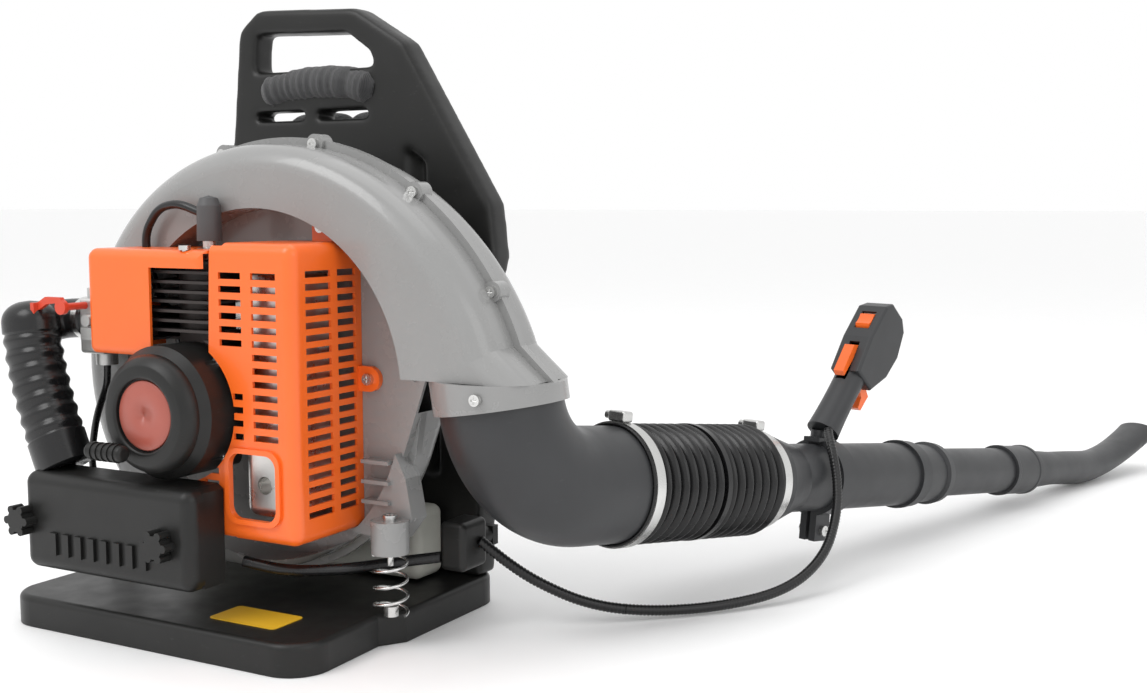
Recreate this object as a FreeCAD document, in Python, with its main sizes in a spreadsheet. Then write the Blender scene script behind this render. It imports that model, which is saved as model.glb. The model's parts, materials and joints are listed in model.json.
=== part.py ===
"""Backpack leaf blower: base, back frame, engine, fan case, flexible hose, pipes and grip.

Millimetres.  +X is the wearer's right, +Y is forward, +Z is up.
The origin is the centre of the base's underside.
"""
import FreeCAD
import Part
import Sketcher
import math
import os
import re
from FreeCAD import Placement, Rotation, Vector

SIZES = {
    # base and back frame
    "base_width": 316, "base_depth": 260, "base_thick": 25, "base_corner": 30, "base_bump": 10,
    "base_edge": 5, "frame_top": 520, "frame_front": 96, "frame_thick": 28, "frame_edge": 7,
    "grip_bar": 20, "hand_gap": 36, "pad_gap": 0.5, "pad_thick": 22, "strap_thick": 9,
    "strap_width": 56,
    # engine axis and fan case
    "crank_x": 10, "crank_z": 185, "volute_start": 139, "volute_end": 266, "case_half": 45,
    "case_wall": 3, "case_round": 20, "flange_wide": 6, "flange_thick": 4, "recess_radius": 142,
    "recess_x": 45, "recess_z": 200, "recess_floor": 12, "inlet_radius": 72,
    "mouth_x": 239, "mouth_z": 214, "collar_radius": 51, "collar_tilt": 9, "collar_long": 22,
    "impeller_radius": 112, "impeller_long": 34, "blade_count": 12, "screw_head": 4.5,
    # elbow, hose and pipes
    "pipe_wall": 2.5, "elbow_radius": 48, "elbow_bend": 75, "corner_x": 258, "corner_z": 130,
    "corner_reach": 105, "tube_yaw": 17, "tube_droop": 6.65, "fit_gap": 0.3,
    "hose_long": 190, "hose_radius": 50, "hose_valley": 43.5, "hose_ribs": 7, "band_wide": 10,
    "hose_end_long": 14, "swivel_radius": 32, "swivel_end": 430, "pipe_radius": 31, "collar_wide": 3,
    "pipe_join": 60, "pipe_two_radius": 25, "pipe_two_end": 690, "nozzle_radius": 20,
    "nozzle_bend": 836, "nozzle_end": 1000, "nozzle_rise": 46, "nozzle_wide": 25,
    "nozzle_thin": 11,
    # grip on the swivel pipe
    "ring_at": 291, "ring_wide": 22, "ring_thick": 4.5, "grip_foot": 44, "grip_lean": 36,
    "grip_long": 150, "grip_radius": 15, "head_long": 52, "trigger_wide": 11, "grip_wall": 2.4,
    # starter
    "starter_radius": 52, "starter_back": 76, "starter_front": 130, "badge_radius": 27.5,
    "reel_radius": 30, "rope_radius": 1.8, "handle_x": -16, "handle_z": 157, "shaft_radius": 6,
    # engine
    "crankcase_radius": 36, "intake_y": -66, "crankcase_back": 34, "crankcase_front": 74, "cylinder_y": -56,
    "bore_radius": 19, "fin_half": 36, "fin_count": 9, "fin_pitch": 7.6, "cylinder_base": 230,
    "cylinder_top": 306, "cap_top": 352,
    # covers and boxes
    "guard_left": 30, "guard_right": 126, "guard_front": 95, "guard_low": 87, "guard_high": 316,
    "sheet_wall": 2.5, "slot_rows": 20, "front_rows": 13, "slot_high": 5,
    "cover_left": 83, "cover_low": 224, "cover_high": 310, "cover_front": 100,
    "box_left": 123, "box_right": 55, "box_low": 53, "box_high": 131, "box_front": 135,
    "box_deep": 39, "duct_radius": 20, "duct_x": -150, "duct_top": 264,
    "tank_half": 132, "tank_back": 92, "tank_front": 53, "tank_low": 27, "tank_high": 88,
    # springs, lead and cables
    "spring_radius": 13, "spring_wire": 1.3, "spring_x": 164, "spring_y": -30, "spring_low": 25,
    "spring_high": 75, "loom_radius": 4.5, "lead_radius": 3.5, "fuel_radius": 3,
}

doc = FreeCAD.newDocument("backpack_blower")
sheet = doc.addObject("Spreadsheet::Sheet", "dims")
for row, (alias, value) in enumerate(SIZES.items(), start=1):
    sheet.set("A%d" % row, alias)
    sheet.set("B%d" % row, str(value))
    sheet.setAlias("B%d" % row, alias)
doc.recompute()

pieces = []
body_screws = []


class Dims:
    """Reads one driving size from the sheet as a plain number."""

    def __getattr__(self, alias):
        return float(sheet.get(alias))


d = Dims()


# ---------------------------------------------------------------- helpers

def linked(text):
    """Puts the sheet's name before every alias in an expression."""
    return re.sub(r"[a-z][a-z_]*", lambda word: "dims." + word.group() if word.group() in SIZES
                  else word.group(), text)


def bind(item, **expressions):
    """Binds properties of an object to expressions of the sheet's sizes."""
    for prop, text in expressions.items():
        item.setExpression(prop.replace("__", "."), linked(text))
    return item


def keep(item, label):
    """Marks an object as a piece that is written to its own file."""
    item.Label = label
    pieces.append(item)
    return item


def plain(label, shape, placement=None):
    """A piece whose shape is made directly."""
    item = doc.addObject("Part::Feature", label)
    item.Shape = shape
    if placement:
        item.Placement = placement
    return keep(item, label)


def origin_plane(body, role):
    return [item for item in body.Origin.OriginFeatures if item.Role == role][0]


def outline(body, role, corners):
    """A closed sketch whose corners are all held by expressions."""
    sketch = body.newObject("Sketcher::SketchObject", body.Name + "_outline")
    sketch.AttachmentSupport = (origin_plane(body, role), [""])
    sketch.MapMode = "FlatFace"
    count = len(corners)
    turn = 2 * math.pi / count
    spots = [Vector(50 * math.cos(turn * k + 0.1), 50 * math.sin(turn * k + 0.1), 0)
             for k in range(count)]
    for k in range(count):
        sketch.addGeometry(Part.LineSegment(spots[k], spots[(k + 1) % count]), False)
    for k in range(count):
        sketch.addConstraint(Sketcher.Constraint("Coincident", k, 2, (k + 1) % count, 1))
    for k, (across, along) in enumerate(corners):
        for kind, text, start in (("DistanceX", across, spots[k].x),
                                  ("DistanceY", along, spots[k].y)):
            number = sketch.addConstraint(Sketcher.Constraint(kind, -1, 1, k, 1, start))
            sketch.setExpression("Constraints[%d]" % number, linked(text))
    return sketch


def new_body(label):
    return keep(doc.addObject("PartDesign::Body", label), label)


def lathe(label, corners, placement=None):
    """A turned piece: corners are (radius, height) about the body's own Z axis."""
    body = new_body(label)
    sketch = outline(body, "XZ_Plane", corners)
    turned = body.newObject("PartDesign::Revolution", label + "_turned")
    turned.Profile = sketch
    turned.ReferenceAxis = (sketch, ["V_Axis"])
    turned.Angle = 360
    if placement:
        body.Placement = placement
    doc.recompute()
    return body


def slab(label, role, corners, thick, flip=False):
    """A flat piece: a sketch on an origin plane, padded."""
    body = new_body(label)
    sketch = outline(body, role, corners)
    pad = body.newObject("PartDesign::Pad", label + "_pad")
    pad.Profile = sketch
    pad.Reversed = flip
    bind(pad, Length=thick)
    doc.recompute()
    return body


def rounded(body, radius, pick):
    """Rounds the edges of a body that the test picks."""
    base = body.Tip
    names = ["Edge%d" % (k + 1) for k, edge in enumerate(base.Shape.Edges) if pick(edge)]
    fillet = body.newObject("PartDesign::Fillet", body.Name + "_round")
    fillet.Base = (base, names)
    bind(fillet, Radius=radius)
    doc.recompute()
    return body


def pocketed(body, role, corners, depth, flip=False, both=False):
    """Cuts a sketched pocket out of a body."""
    before = body.Tip.Shape.Volume
    sketch = outline(body, role, corners)
    pocket = body.newObject("PartDesign::Pocket", body.Name + "_pocket")
    pocket.Profile = sketch
    pocket.Reversed = flip
    pocket.Midplane = both
    bind(pocket, Length=depth)
    doc.recompute()
    if body.Shape.Volume > before - 1:
        raise RuntimeError("pocket cut nothing in " + body.Label)
    return body


def along_z(edge):
    direction = edge.Vertexes[-1].Point - edge.Vertexes[0].Point
    return len(edge.Vertexes) == 2 and abs(direction.x) + abs(direction.y) < 0.01


def along_y(edge):
    direction = edge.Vertexes[-1].Point - edge.Vertexes[0].Point
    return len(edge.Vertexes) == 2 and abs(direction.x) + abs(direction.z) < 0.01


def block(x, y, z):
    """A box from its (low, high) pairs."""
    return Part.makeBox(x[1] - x[0], y[1] - y[0], z[1] - z[0], Vector(x[0], y[0], z[0]))


def round_block(x, y, z, radius):
    shape = block(x, y, z)
    return shape.makeFillet(radius, shape.Edges)


def rod(radius, start, end):
    """A solid round bar between two points."""
    line = end - start
    return Part.makeCylinder(radius, line.Length, start, line)


def pipe(outer, inner, start, end):
    reach = (end - start).normalize() * 0.01
    return rod(outer, start, end).cut(rod(inner, start - reach, end + reach))


def bent_path(points, share=0.45):
    """Straight runs joined by tangent arcs.  Returns the wire and its smallest radius."""
    edges = []
    radii = []
    here = points[0]
    for before, corner, after in zip(points, points[1:], points[2:]):
        run_in = corner - before
        run_out = after - corner
        turn = run_in.getAngle(run_out)
        reach = share * min(run_in.Length, run_out.Length)
        radii.append(reach / math.tan(turn / 2))
        enter = corner - run_in.normalize() * reach
        leave = corner + run_out.normalize() * reach
        middle = (enter + leave) * 0.5
        inward = (middle - corner).normalize()
        centre_gap = math.hypot(radii[-1], reach)
        peak = corner + inward * (centre_gap - radii[-1])
        edges.append(Part.LineSegment(here, enter).toShape())
        edges.append(Part.Arc(enter, peak, leave).toShape())
        here = leave
    edges.append(Part.LineSegment(here, points[-1]).toShape())
    return Part.Wire(edges), min(radii) if radii else 0


def swept(points, radius, share=0.45, note=None):
    """A round bar along a bent path."""
    path, least = bent_path([Vector(*point) for point in points], share)
    start = path.Vertexes[0].Point
    direction = path.Edges[0].tangentAt(path.Edges[0].FirstParameter)
    circle = Part.Wire([Part.Circle(start, direction, radius).toShape()])
    shape = path.makePipeShell([circle], True, False)
    if note:
        section = math.pi * radius ** 2 * path.Length
        print("%s: length %.0f, least radius %.0f, volume / (section x length) %.4f"
              % (note, path.Length, least, shape.Volume / section))
    return shape


def extruded(points, move):
    """A prism of a polygon of 3-D points."""
    face = Part.Face(Part.makePolygon([Vector(*p) for p in points] + [Vector(*points[0])]))
    return face.extrude(Vector(*move))


def ellipse_wire(centre, wide, high, facing):
    """An ellipse on a plane; wide is along X, facing is the plane's normal."""
    up = facing.cross(Vector(1, 0, 0)).normalize() * -1
    big, small = (wide, high) if wide >= high else (high, wide)
    main = Vector(1, 0, 0) if wide >= high else up
    other = up if wide >= high else Vector(1, 0, 0)
    curve = Part.Ellipse(centre + main * big, centre + other * small, centre)
    return Part.Wire([curve.toShape()])


def screw(at, facing, shaft=10.0, head=None):
    """A pan-head screw: head outside the surface, shank inside, cross recess in the head."""
    head = head or d.screw_head
    facing = Vector(*facing).normalize()
    at = Vector(*at)
    top = at + facing * head * 0.75
    body = rod(head, at, top).fuse(rod(head * 0.45, at - facing * shaft, at))
    side = facing.cross(Vector(0, 0, 1) if abs(facing.z) < 0.9 else Vector(1, 0, 0)).normalize()
    for direction in (side, facing.cross(side)):
        body = body.cut(rod(head * 0.16, top - direction * head * 0.6, top + direction * head * 0.6))
    return body


# ---------------------------------------------------------------- frames of reference

crank_frame = Placement(Vector(d.crank_x, 0, d.crank_z), Rotation(Vector(1, 0, 0), -90))
corner = Vector(d.corner_x, 0, d.corner_z)
outlet_way = Vector(math.sin(math.radians(d.collar_tilt)), 0,
                    -math.cos(math.radians(d.collar_tilt)))
upright = Rotation(Vector(-1, 0, 0), Vector(0, 0, 1), Vector(0, 1, 0), "ZXY")
tube_turn = (Rotation(Vector(0, 0, 1), -d.tube_yaw)
             .multiply(Rotation(Vector(1, 0, 0), -d.tube_droop)).multiply(upright))
tube_axis = tube_turn.multVec(Vector(0, 0, 1))
tube_frame = Placement(corner + tube_axis * d.corner_reach, tube_turn)
lean = math.radians(d.grip_lean)
grip_frame = tube_frame.multiply(Placement(
    Vector(0, d.grip_foot, d.ring_at),
    Rotation(Vector(-1, 0, 0), Vector(0, -math.sin(lean), math.cos(lean)),
             Vector(0, math.cos(lean), math.sin(lean)), "ZXY")))


def crank_ring(outer, inner, back, front):
    """A ring about the crank's axis between two distances in front of the seam."""
    centre = Vector(d.crank_x, 0, d.crank_z)
    start = centre + Vector(0, -back, 0)
    end = centre + Vector(0, -front, 0)
    if inner:
        return pipe(outer, inner, start, end)
    return rod(outer, start, end)


# ---------------------------------------------------------------- base and frame

def make_base():
    half = "base_width / 2"
    deep = "base_depth / 2"
    body = slab("base_plate", "XY_Plane", [
        ("-" + half, "-" + deep), (half, "-" + deep), (half + " - 3", "-35"),
        (half + " + base_bump", "-15"), (half + " + base_bump", deep), ("-" + half, deep)],
        "base_thick")
    rounded(body, "base_corner", lambda edge: along_z(edge) and abs(edge.Vertexes[0].Y) > 40)
    rounded(body, "base_edge", lambda edge: edge.BoundBox.ZMin > d.base_thick - 0.01)


def make_back_frame():
    """A moulded panel with a carrying bar, a hand opening, ribs and strap slots."""
    top = "frame_top"
    body = slab("back_frame", "XZ_Plane", [
        ("-160", "base_thick"), ("-160", "300"), ("-103", "400"), ("-93", top + " - 18"),
        ("-70", top), ("40", top + " - 5"), ("92", top + " - 36"), ("178", "345"),
        ("183", "300"), ("168", "250"), ("166", "base_thick")], "frame_thick", True)
    body.Placement = Placement(Vector(0, d.frame_front, 0), Rotation())
    rounded(body, "2 * frame_edge", lambda edge: along_y(edge) and edge.BoundBox.ZMin > 310)
    high = top + " - grip_bar"
    low = top + " - grip_bar - hand_gap"
    pocketed(body, "XZ_Plane", [
        ("-72", high + " - 2"), ("30", high + " - 6"), ("56", low + " + 12"), ("60", low),
        ("-74", low)], "4 * frame_thick", True, True)
    for left, right, bottom, roof in ((92, 112, 290, 395), (120, 140, 285, 350),
                                      (146, 164, 270, 318), (-148, -128, 60, 280),
                                      (-118, -98, 60, 330), (104, 124, 110, 250)):
        pocketed(body, "XZ_Plane", [
            (str(left), str(bottom)), (str(right), str(bottom)), (str(right), str(roof - 14)),
            (str(left), str(roof))], "7")
    for middle in (-45, 25):
        pocketed(body, "XZ_Plane", [
            (str(middle - 28), "420"), (str(middle + 28), "420"), (str(middle + 28), "428"),
            (str(middle - 28), "428")], "4 * frame_thick", True, True)
    rounded(body, "frame_edge / 2", lambda edge: edge.BoundBox.YLength < 0.01
            and edge.BoundBox.ZMin > d.frame_top - 150 and edge.Length > 30
            and edge.BoundBox.ZMax > 435)


def make_carrying():
    """Back pad, shoulder straps, their webbing loops and buckles, all behind the frame."""
    near = d.frame_front + d.frame_thick + d.pad_gap
    pad = round_block((-120, 125), (near, near + d.pad_thick), (110, 400), 9)
    plain("back_pad", pad)
    harness = []
    strap_y = near + d.pad_thick + d.pad_gap
    for middle in (-45, 25):
        arch = [(near + 6, 404), (near + 20, 430), (strap_y + 40, 420), (strap_y + 62, 330),
                (strap_y + 56, 210), (strap_y + 40, 150)]
        path, least = bent_path([Vector(0, y, z) for y, z in arch])
        start = path.Vertexes[0].Point
        heading = path.Edges[0].tangentAt(0)
        side_way = heading.cross(Vector(1, 0, 0)).normalize() * (d.strap_thick / 2)
        across = Vector(d.strap_width / 2 - 2, 0, 0)
        band = Part.makePolygon([start - across - side_way, start + across - side_way,
                                 start + across + side_way, start - across + side_way,
                                 start - across - side_way])
        strap = path.makePipeShell([band], True, False)
        strap.translate(Vector(middle, 0, 0))
        harness.append(strap)
        loop = block((middle - 26, middle + 26), (d.frame_front - 4, near + 1.5), (421, 424))
        loop = loop.fuse(block((middle - 26, middle + 26), (d.frame_front - 4, d.frame_front - 1.5),
                               (424, 446)))
        harness.append(loop)
    for middle in (-45, 25):
        end = Vector(middle, strap_y + 40, 149.5)
        anchor = Vector(middle, near + 4, 62)
        run = anchor - end
        side_way = run.cross(Vector(1, 0, 0)).normalize() * 1.2
        across = Vector(12, 0, 0)
        face = Part.Face(Part.makePolygon([end - across - side_way, end + across - side_way,
                                           end + across + side_way, end - across + side_way,
                                           end - across - side_way]))
        harness.append(face.extrude(run))
        harness.append(block((middle - 17, middle + 17), (near - d.pad_gap + 0.02, near + 9),
                             (50, 60.5)))
    plain("harness", Part.makeCompound(harness))


def make_suspension():
    """Steel coil springs that carry the engine unit, with a bolt up through each."""
    springs = []
    bolts = []
    turns = 3.6
    for x in (d.spring_x, -120):
        low = d.base_thick + d.spring_wire + 0.02
        high = d.spring_high - d.spring_wire - 0.02
        helix = Part.makeHelix((high - low) / turns, high - low, d.spring_radius)
        start = Vector(d.spring_radius, 0, 0)
        way = helix.Edges[0].tangentAt(helix.Edges[0].FirstParameter)
        circle = Part.Wire([Part.Circle(start, way, d.spring_wire).toShape()])
        spring = Part.Wire(helix.Edges).makePipeShell([circle], True, True)
        spring.translate(Vector(x, d.spring_y, low))
        springs.append(spring)
        bolts.append(screw((x, d.spring_y, d.spring_high + 26), (0, 0, 1), 36, 5.5))
        bolts.append(rod(6, Vector(x, d.spring_y, d.base_thick), Vector(x, d.spring_y, 33)))
    plain("suspension_springs", Part.makeCompound(springs))
    body_screws.extend(bolts)
    buffers = []
    for x, z in ((-70, 300), (120, 300)):
        start = Vector(x, d.case_half + 0.05, z)
        end = Vector(x, d.frame_front - 0.05, z)
        buffers.append(rod(14, start, end))
    plain("rubber_buffers", Part.makeCompound(buffers))


# ---------------------------------------------------------------- fan case

def volute_radius(angle, grow):
    """The scroll's radius about the crank's axis; it grows as the air turns to the outlet."""
    turned = (270 - angle) / 270
    return d.volute_start + (d.volute_end - d.volute_start) * turned ** 1.6 + grow


def polar(angle, radius):
    turn = math.radians(angle)
    return Vector(d.crank_x + radius * math.cos(turn), 0, d.crank_z + radius * math.sin(turn))


def case_outline(grow):
    """The scroll's closed outline on the seam plane, moved outwards by grow."""
    spots = [polar(angle, volute_radius(angle, grow)) for angle in range(270, 0, -30)]
    spots.append(polar(12, volute_radius(12, grow)))
    spiral = Part.BSplineCurve()
    spiral.interpolate(spots)
    right = Vector(d.mouth_x + d.collar_radius + grow, 0, d.mouth_z)
    left = Vector(d.mouth_x - d.collar_radius - grow, 0, d.mouth_z)
    tongue = polar(-13, d.volute_start + 20 + grow)
    lower = polar(-52, d.volute_start + 10 + grow)
    edges = [spiral.toShape(), Part.LineSegment(spots[-1], right).toShape(),
             Part.LineSegment(right, left).toShape(), Part.LineSegment(left, tongue).toShape(),
             Part.Arc(tongue, lower, spots[0]).toShape()]
    return Part.Face(Part.Wire(edges))


def dish(grow, depth, radius, way):
    """The scroll's outline pushed out from the seam, with its far rim rounded."""
    shape = case_outline(grow).extrude(Vector(0, way * depth, 0))
    far = [edge for edge in shape.Edges if edge.BoundBox.YLength < 0.01
           and edge.BoundBox.ZLength > 0.01 and abs(edge.BoundBox.YMin - way * depth) < 0.01]
    return shape.makeFillet(radius, far)


def case_half(way):
    """One half of the fan case: a rounded dish with a flange, hollow, open at the mouth."""
    wall = d.case_wall
    outer = dish(0, d.case_half, d.case_round, way)
    inner = dish(-wall, d.case_half - wall, d.case_round - wall, way)
    flange = case_outline(d.flange_wide).extrude(Vector(0, way * d.flange_thick, 0))
    outer = outer.fuse(flange)
    if way < 0:
        start = Vector(d.recess_x, -d.case_half - 1, d.recess_z)
        outer = outer.cut(rod(d.recess_radius, start, Vector(d.recess_x, -d.recess_floor,
                                                             d.recess_z)))
        inner = inner.cut(rod(d.recess_radius + wall, start,
                              Vector(d.recess_x, wall - d.recess_floor, d.recess_z)))
    mouth = inner.copy()
    mouth.translate(Vector(0, 0, -10))
    reach = d.collar_radius - wall
    mouth = mouth.common(block((d.mouth_x - reach, d.mouth_x + reach),
                               (-d.case_half, d.case_half), (d.mouth_z - 11, d.mouth_z + 6)))
    return outer.cut(inner).cut(mouth)


SCREW_ANGLES = (178, 152, 127, 98, 72, 46, 22)


def flange_spot(angle):
    return polar(angle, volute_radius(angle, d.flange_wide * 0.4))


def make_case():
    front = case_half(-1)
    rear = case_half(1)
    screws = []
    hole = 2.2
    for angle in SCREW_ANGLES:
        spot = flange_spot(angle)
        lug = rod(8, spot + Vector(0, -7, 0), spot)
        pilot = rod(hole, spot + Vector(0, -8, 0), spot + Vector(0, 9, 0))
        front = front.fuse(lug.cut(dish(-d.case_wall, d.case_half - d.case_wall,
                                        d.case_round - d.case_wall, -1))).cut(pilot)
        back_lug = rod(8, spot, spot + Vector(0, 7, 0))
        rear = rear.fuse(back_lug.cut(dish(-d.case_wall, d.case_half - d.case_wall,
                                           d.case_round - d.case_wall, 1))).cut(pilot)
        screws.append(screw((spot.x, -7, spot.z), (0, -1, 0), 13, 4.4))
    # the foot at the lower right, which stands on a spring, and its twin at the left
    for x, inward in ((d.spring_x, -1), (-120, 1)):
        boss = rod(15, Vector(x, d.spring_y, d.spring_high), Vector(x, d.spring_y, 101))
        web = extruded([(x, -20, 82), (x - 14 * inward, -20, 100), (x - 8 * inward, -20, 132),
                        (x + 10 * inward, -20, 168), (x + 34 * inward, -20, 120),
                        (x + 44 * inward, -20, 84)], (0, 20, 0))
        foot = boss.fuse(web).cut(case_outline(-d.case_wall).extrude(Vector(0, -40, 0)))
        bolt_way = rod(2.8, Vector(x, d.spring_y, 60), Vector(x, d.spring_y, 110))
        front = front.fuse(foot).cut(bolt_way)
    front = front.cut(crank_ring(d.shaft_radius + 4, 0, 5, 30))
    for k in range(3):
        height = 110 + 16 * k
        rib = block((132, 158), (-24, -d.recess_floor), (height, height + 3))
        front = front.fuse(rib)
    inlet = crank_ring(d.inlet_radius, 0, -30, -60)
    rear = rear.cut(inlet).fuse(inlet_grille())
    collar = outlet_collar()
    far = 400
    front = front.fuse(collar.common(block((-far, far), (-far, 0), (-far, far))))
    rear = rear.fuse(collar.common(block((-far, far), (0, far), (-far, far))))
    plain("fan_case_front", front.removeSplitter())
    plain("fan_case_rear", rear.removeSplitter())
    body_screws.extend(screws)


def inlet_grille():
    """Rings and spokes moulded across the air inlet of the rear half."""
    front = d.case_wall - d.case_half
    grille = crank_ring(d.inlet_radius + 1, d.inlet_radius - 3, front, -d.case_half)
    for radius in range(16, int(d.inlet_radius) - 4, 12):
        grille = grille.fuse(crank_ring(radius + 2.5, radius, front, -d.case_half))
    for k in range(6):
        bar = block((-d.inlet_radius, d.inlet_radius), (-front, d.case_half), (-1.5, 1.5))
        bar.rotate(Vector(0, 0, 0), Vector(0, 1, 0), 30 * k)
        bar.translate(Vector(d.crank_x, 0, d.crank_z))
        grille = grille.fuse(bar)
    return grille


def make_rotor():
    """Crankshaft halves, flywheel, impeller and starter cup, all about the crank's axis."""
    web_gap = 7.2
    front = crank_ring(22, 0, -d.cylinder_y + web_gap / 2, -d.cylinder_y + web_gap / 2 + 6)
    front = front.fuse(crank_ring(d.shaft_radius, 0, -d.cylinder_y + web_gap / 2, 101))
    rear = crank_ring(22, 0, -d.cylinder_y - web_gap / 2 - 6, -d.cylinder_y - web_gap / 2)
    rear = rear.fuse(crank_ring(d.shaft_radius, 0, -30, -d.cylinder_y - web_gap / 2))
    cup = crank_ring(24, 21, 92, 104).fuse(crank_ring(24, 0, 92, 98))
    plain("crankshaft", Part.makeCompound([front.fuse(cup), rear]))
    lathe("flywheel", [("shaft_radius", "-31"), ("38", "-31"), ("38", "-22"), ("34", "-15"),
                       ("shaft_radius", "-15")], crank_frame)
    hub = crank_ring(18, d.shaft_radius, 7, -d.impeller_long + 8)
    disc = crank_ring(d.impeller_radius, d.shaft_radius, 7, 4.5)
    wheel = hub.fuse(disc)
    count = int(d.blade_count)
    for k in range(count):
        blade = block((44, d.impeller_radius - 2), (-4.6, d.impeller_long - 6), (-1.2, 1.2))
        blade.rotate(Vector(d.impeller_radius - 2, 0, 0), Vector(0, 1, 0), 24)
        blade.rotate(Vector(0, 0, 0), Vector(0, 1, 0), 360 / count * k)
        blade.translate(Vector(d.crank_x, 0, d.crank_z))
        wheel = wheel.fuse(blade)
    ring = crank_ring(d.impeller_radius, 74, 8 - d.impeller_long, 5 - d.impeller_long)
    plain("impeller", wheel.fuse(ring).removeSplitter())


# ---------------------------------------------------------------- engine

def make_engine():
    deck = d.cylinder_base
    inside = d.crankcase_radius - 8
    front_y = d.crankcase_front
    middle = -d.cylinder_y
    tower = block((d.crank_x - 26, d.crank_x + 26), (-front_y + 4, -d.crankcase_back),
                  (d.crank_z, deck))
    hollow = crank_ring(inside, 0, d.crankcase_back + 6, front_y - 6)
    well = rod(d.bore_radius + 0.5, Vector(d.crank_x, d.cylinder_y, d.crank_z),
               Vector(d.crank_x, d.cylinder_y, deck + 1))
    bearing_seat = crank_ring(15, 0, 30, 90)
    whole = crank_ring(d.crankcase_radius, 0, d.crankcase_back, front_y).fuse(tower)
    whole = whole.cut(hollow).cut(well).cut(bearing_seat)
    far = 400
    rear = whole.common(block((-far, far), (-middle, 0), (-far, far)))
    bell = crank_ring(44, 40, d.recess_floor + 0.02, d.crankcase_back + 4)
    plate = crank_ring(44, 15, d.crankcase_back, d.crankcase_back + 4)
    rear = rear.fuse(bell.fuse(plate)).cut(hollow).cut(well).removeSplitter()
    front = whole.common(block((-far, far), (-front_y, -middle), (-far, far))).removeSplitter()
    plain("crankcase_halves", Part.makeCompound([rear, front]))
    bearings = [crank_ring(14.98, d.shaft_radius + 0.05, d.crankcase_back + 0.1,
                           d.crankcase_back + 6),
                crank_ring(14.98, d.shaft_radius + 0.05, front_y - 6, front_y - 0.1)]
    block_low = deck + 0.02
    barrel = rod(25, Vector(d.crank_x, d.cylinder_y, block_low),
                 Vector(d.crank_x, d.cylinder_y, d.cylinder_top - 4))
    for k in range(int(d.fin_count)):
        height = block_low + 8 + d.fin_pitch * k
        half = d.fin_half - (2 if k > d.fin_count - 3 else 0) * (k - d.fin_count + 3)
        fin = block((d.crank_x - half, d.crank_x + half), (d.cylinder_y - half, d.cylinder_y + half
                                                          - 0.5), (height, height + 2.2))
        barrel = barrel.fuse(fin.makeFillet(8, [e for e in fin.Edges if along_z(e)]))
    bore = rod(d.bore_radius, Vector(d.crank_x, d.cylinder_y, deck - 1),
               Vector(d.crank_x, d.cylinder_y, 296))
    plug_hole = rod(6, Vector(d.crank_x, d.cylinder_y, 290), Vector(d.crank_x, d.cylinder_y, 330))
    starter_room = crank_ring(d.starter_radius + 8.3, 0, d.starter_back - 0.3, 200)
    plain("cylinder", barrel.cut(bore).cut(plug_hole).cut(starter_room).removeSplitter())
    lathe("piston", [("0", "240"), ("8", "240"), ("8", "246"), ("15", "246"), ("15", "238"),
                     ("bore_radius - 0.03", "238"), ("bore_radius - 0.03", "272"), ("0", "274")],
          Placement(Vector(d.crank_x, d.cylinder_y, 0), Rotation()))
    pin_height = 233
    piston_pin = rod(4, Vector(d.crank_x - 14, d.cylinder_y, pin_height),
                     Vector(d.crank_x + 14, d.cylinder_y, pin_height))
    rod_mid = Vector(d.crank_x, d.cylinder_y, d.crank_z + 15)
    shank = block((d.crank_x - 3, d.crank_x + 3), (d.cylinder_y - 2.5, d.cylinder_y + 2.5),
                  (d.crank_z + 20, pin_height - 5))
    big_end = pipe(8, 5, rod_mid + Vector(0, -2.8, 0), rod_mid + Vector(0, 2.8, 0))
    small_end = pipe(7, 4.02, Vector(d.crank_x - 6, d.cylinder_y, pin_height),
                     Vector(d.crank_x + 6, d.cylinder_y, pin_height))
    plain("connecting_rod", shank.fuse([big_end, small_end]).cut(
        rod(5, rod_mid + Vector(0, -3, 0), rod_mid + Vector(0, 3, 0))).cut(
        rod(4.02, Vector(0, d.cylinder_y, pin_height), Vector(30, d.cylinder_y, pin_height))))
    crank_pin = rod(4.98, rod_mid + Vector(0, -3, 0), rod_mid + Vector(0, 3, 0))
    plain("bearings_and_pins", Part.makeCompound(bearings + [piston_pin, crank_pin]))
    top = d.cylinder_top
    lathe("spark_plug", [("0", "292"), ("5.9", "292"), ("5.9", "cylinder_top - 4"),
                         ("10", "cylinder_top - 4"), ("10", "cylinder_top + 4"),
                         ("5.5", "cylinder_top + 5"), ("5.5", "cylinder_top + 20"),
                         ("0", "cylinder_top + 20")],
          Placement(Vector(d.crank_x, d.cylinder_y, 0), Rotation()))
    lathe("spark_plug_cap", [("5.6", "cylinder_top + 10"), ("10", "cylinder_top + 10"),
                             ("9.4", "cap_top - 8"), ("7", "cap_top - 2"), ("0", "cap_top"),
                             ("0", "cylinder_top + 20.1"), ("5.6", "cylinder_top + 20.1")],
          Placement(Vector(d.crank_x, d.cylinder_y, 0), Rotation()))
    cap = pieces[-1].Shape
    lead = swept([(d.crank_x - 8, d.cylinder_y, 338), (-22, -57, 346), (-46, -55, 342),
                  (-62, -54, 322), (-62, -53, 300), (-58, -46, 272), (-55, -31, 247),
                  (-54, -24, 221)], d.lead_radius, note="ignition_lead")
    core = round_block((-66, -40), (-33, -13), (192, 222), 3)
    plain("ignition_lead", lead.cut(cap).cut(core))
    plain("ignition_coil", core.fuse(block((-41, -35.5), (-28, -20), (196, 210))).removeSplitter())


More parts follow.
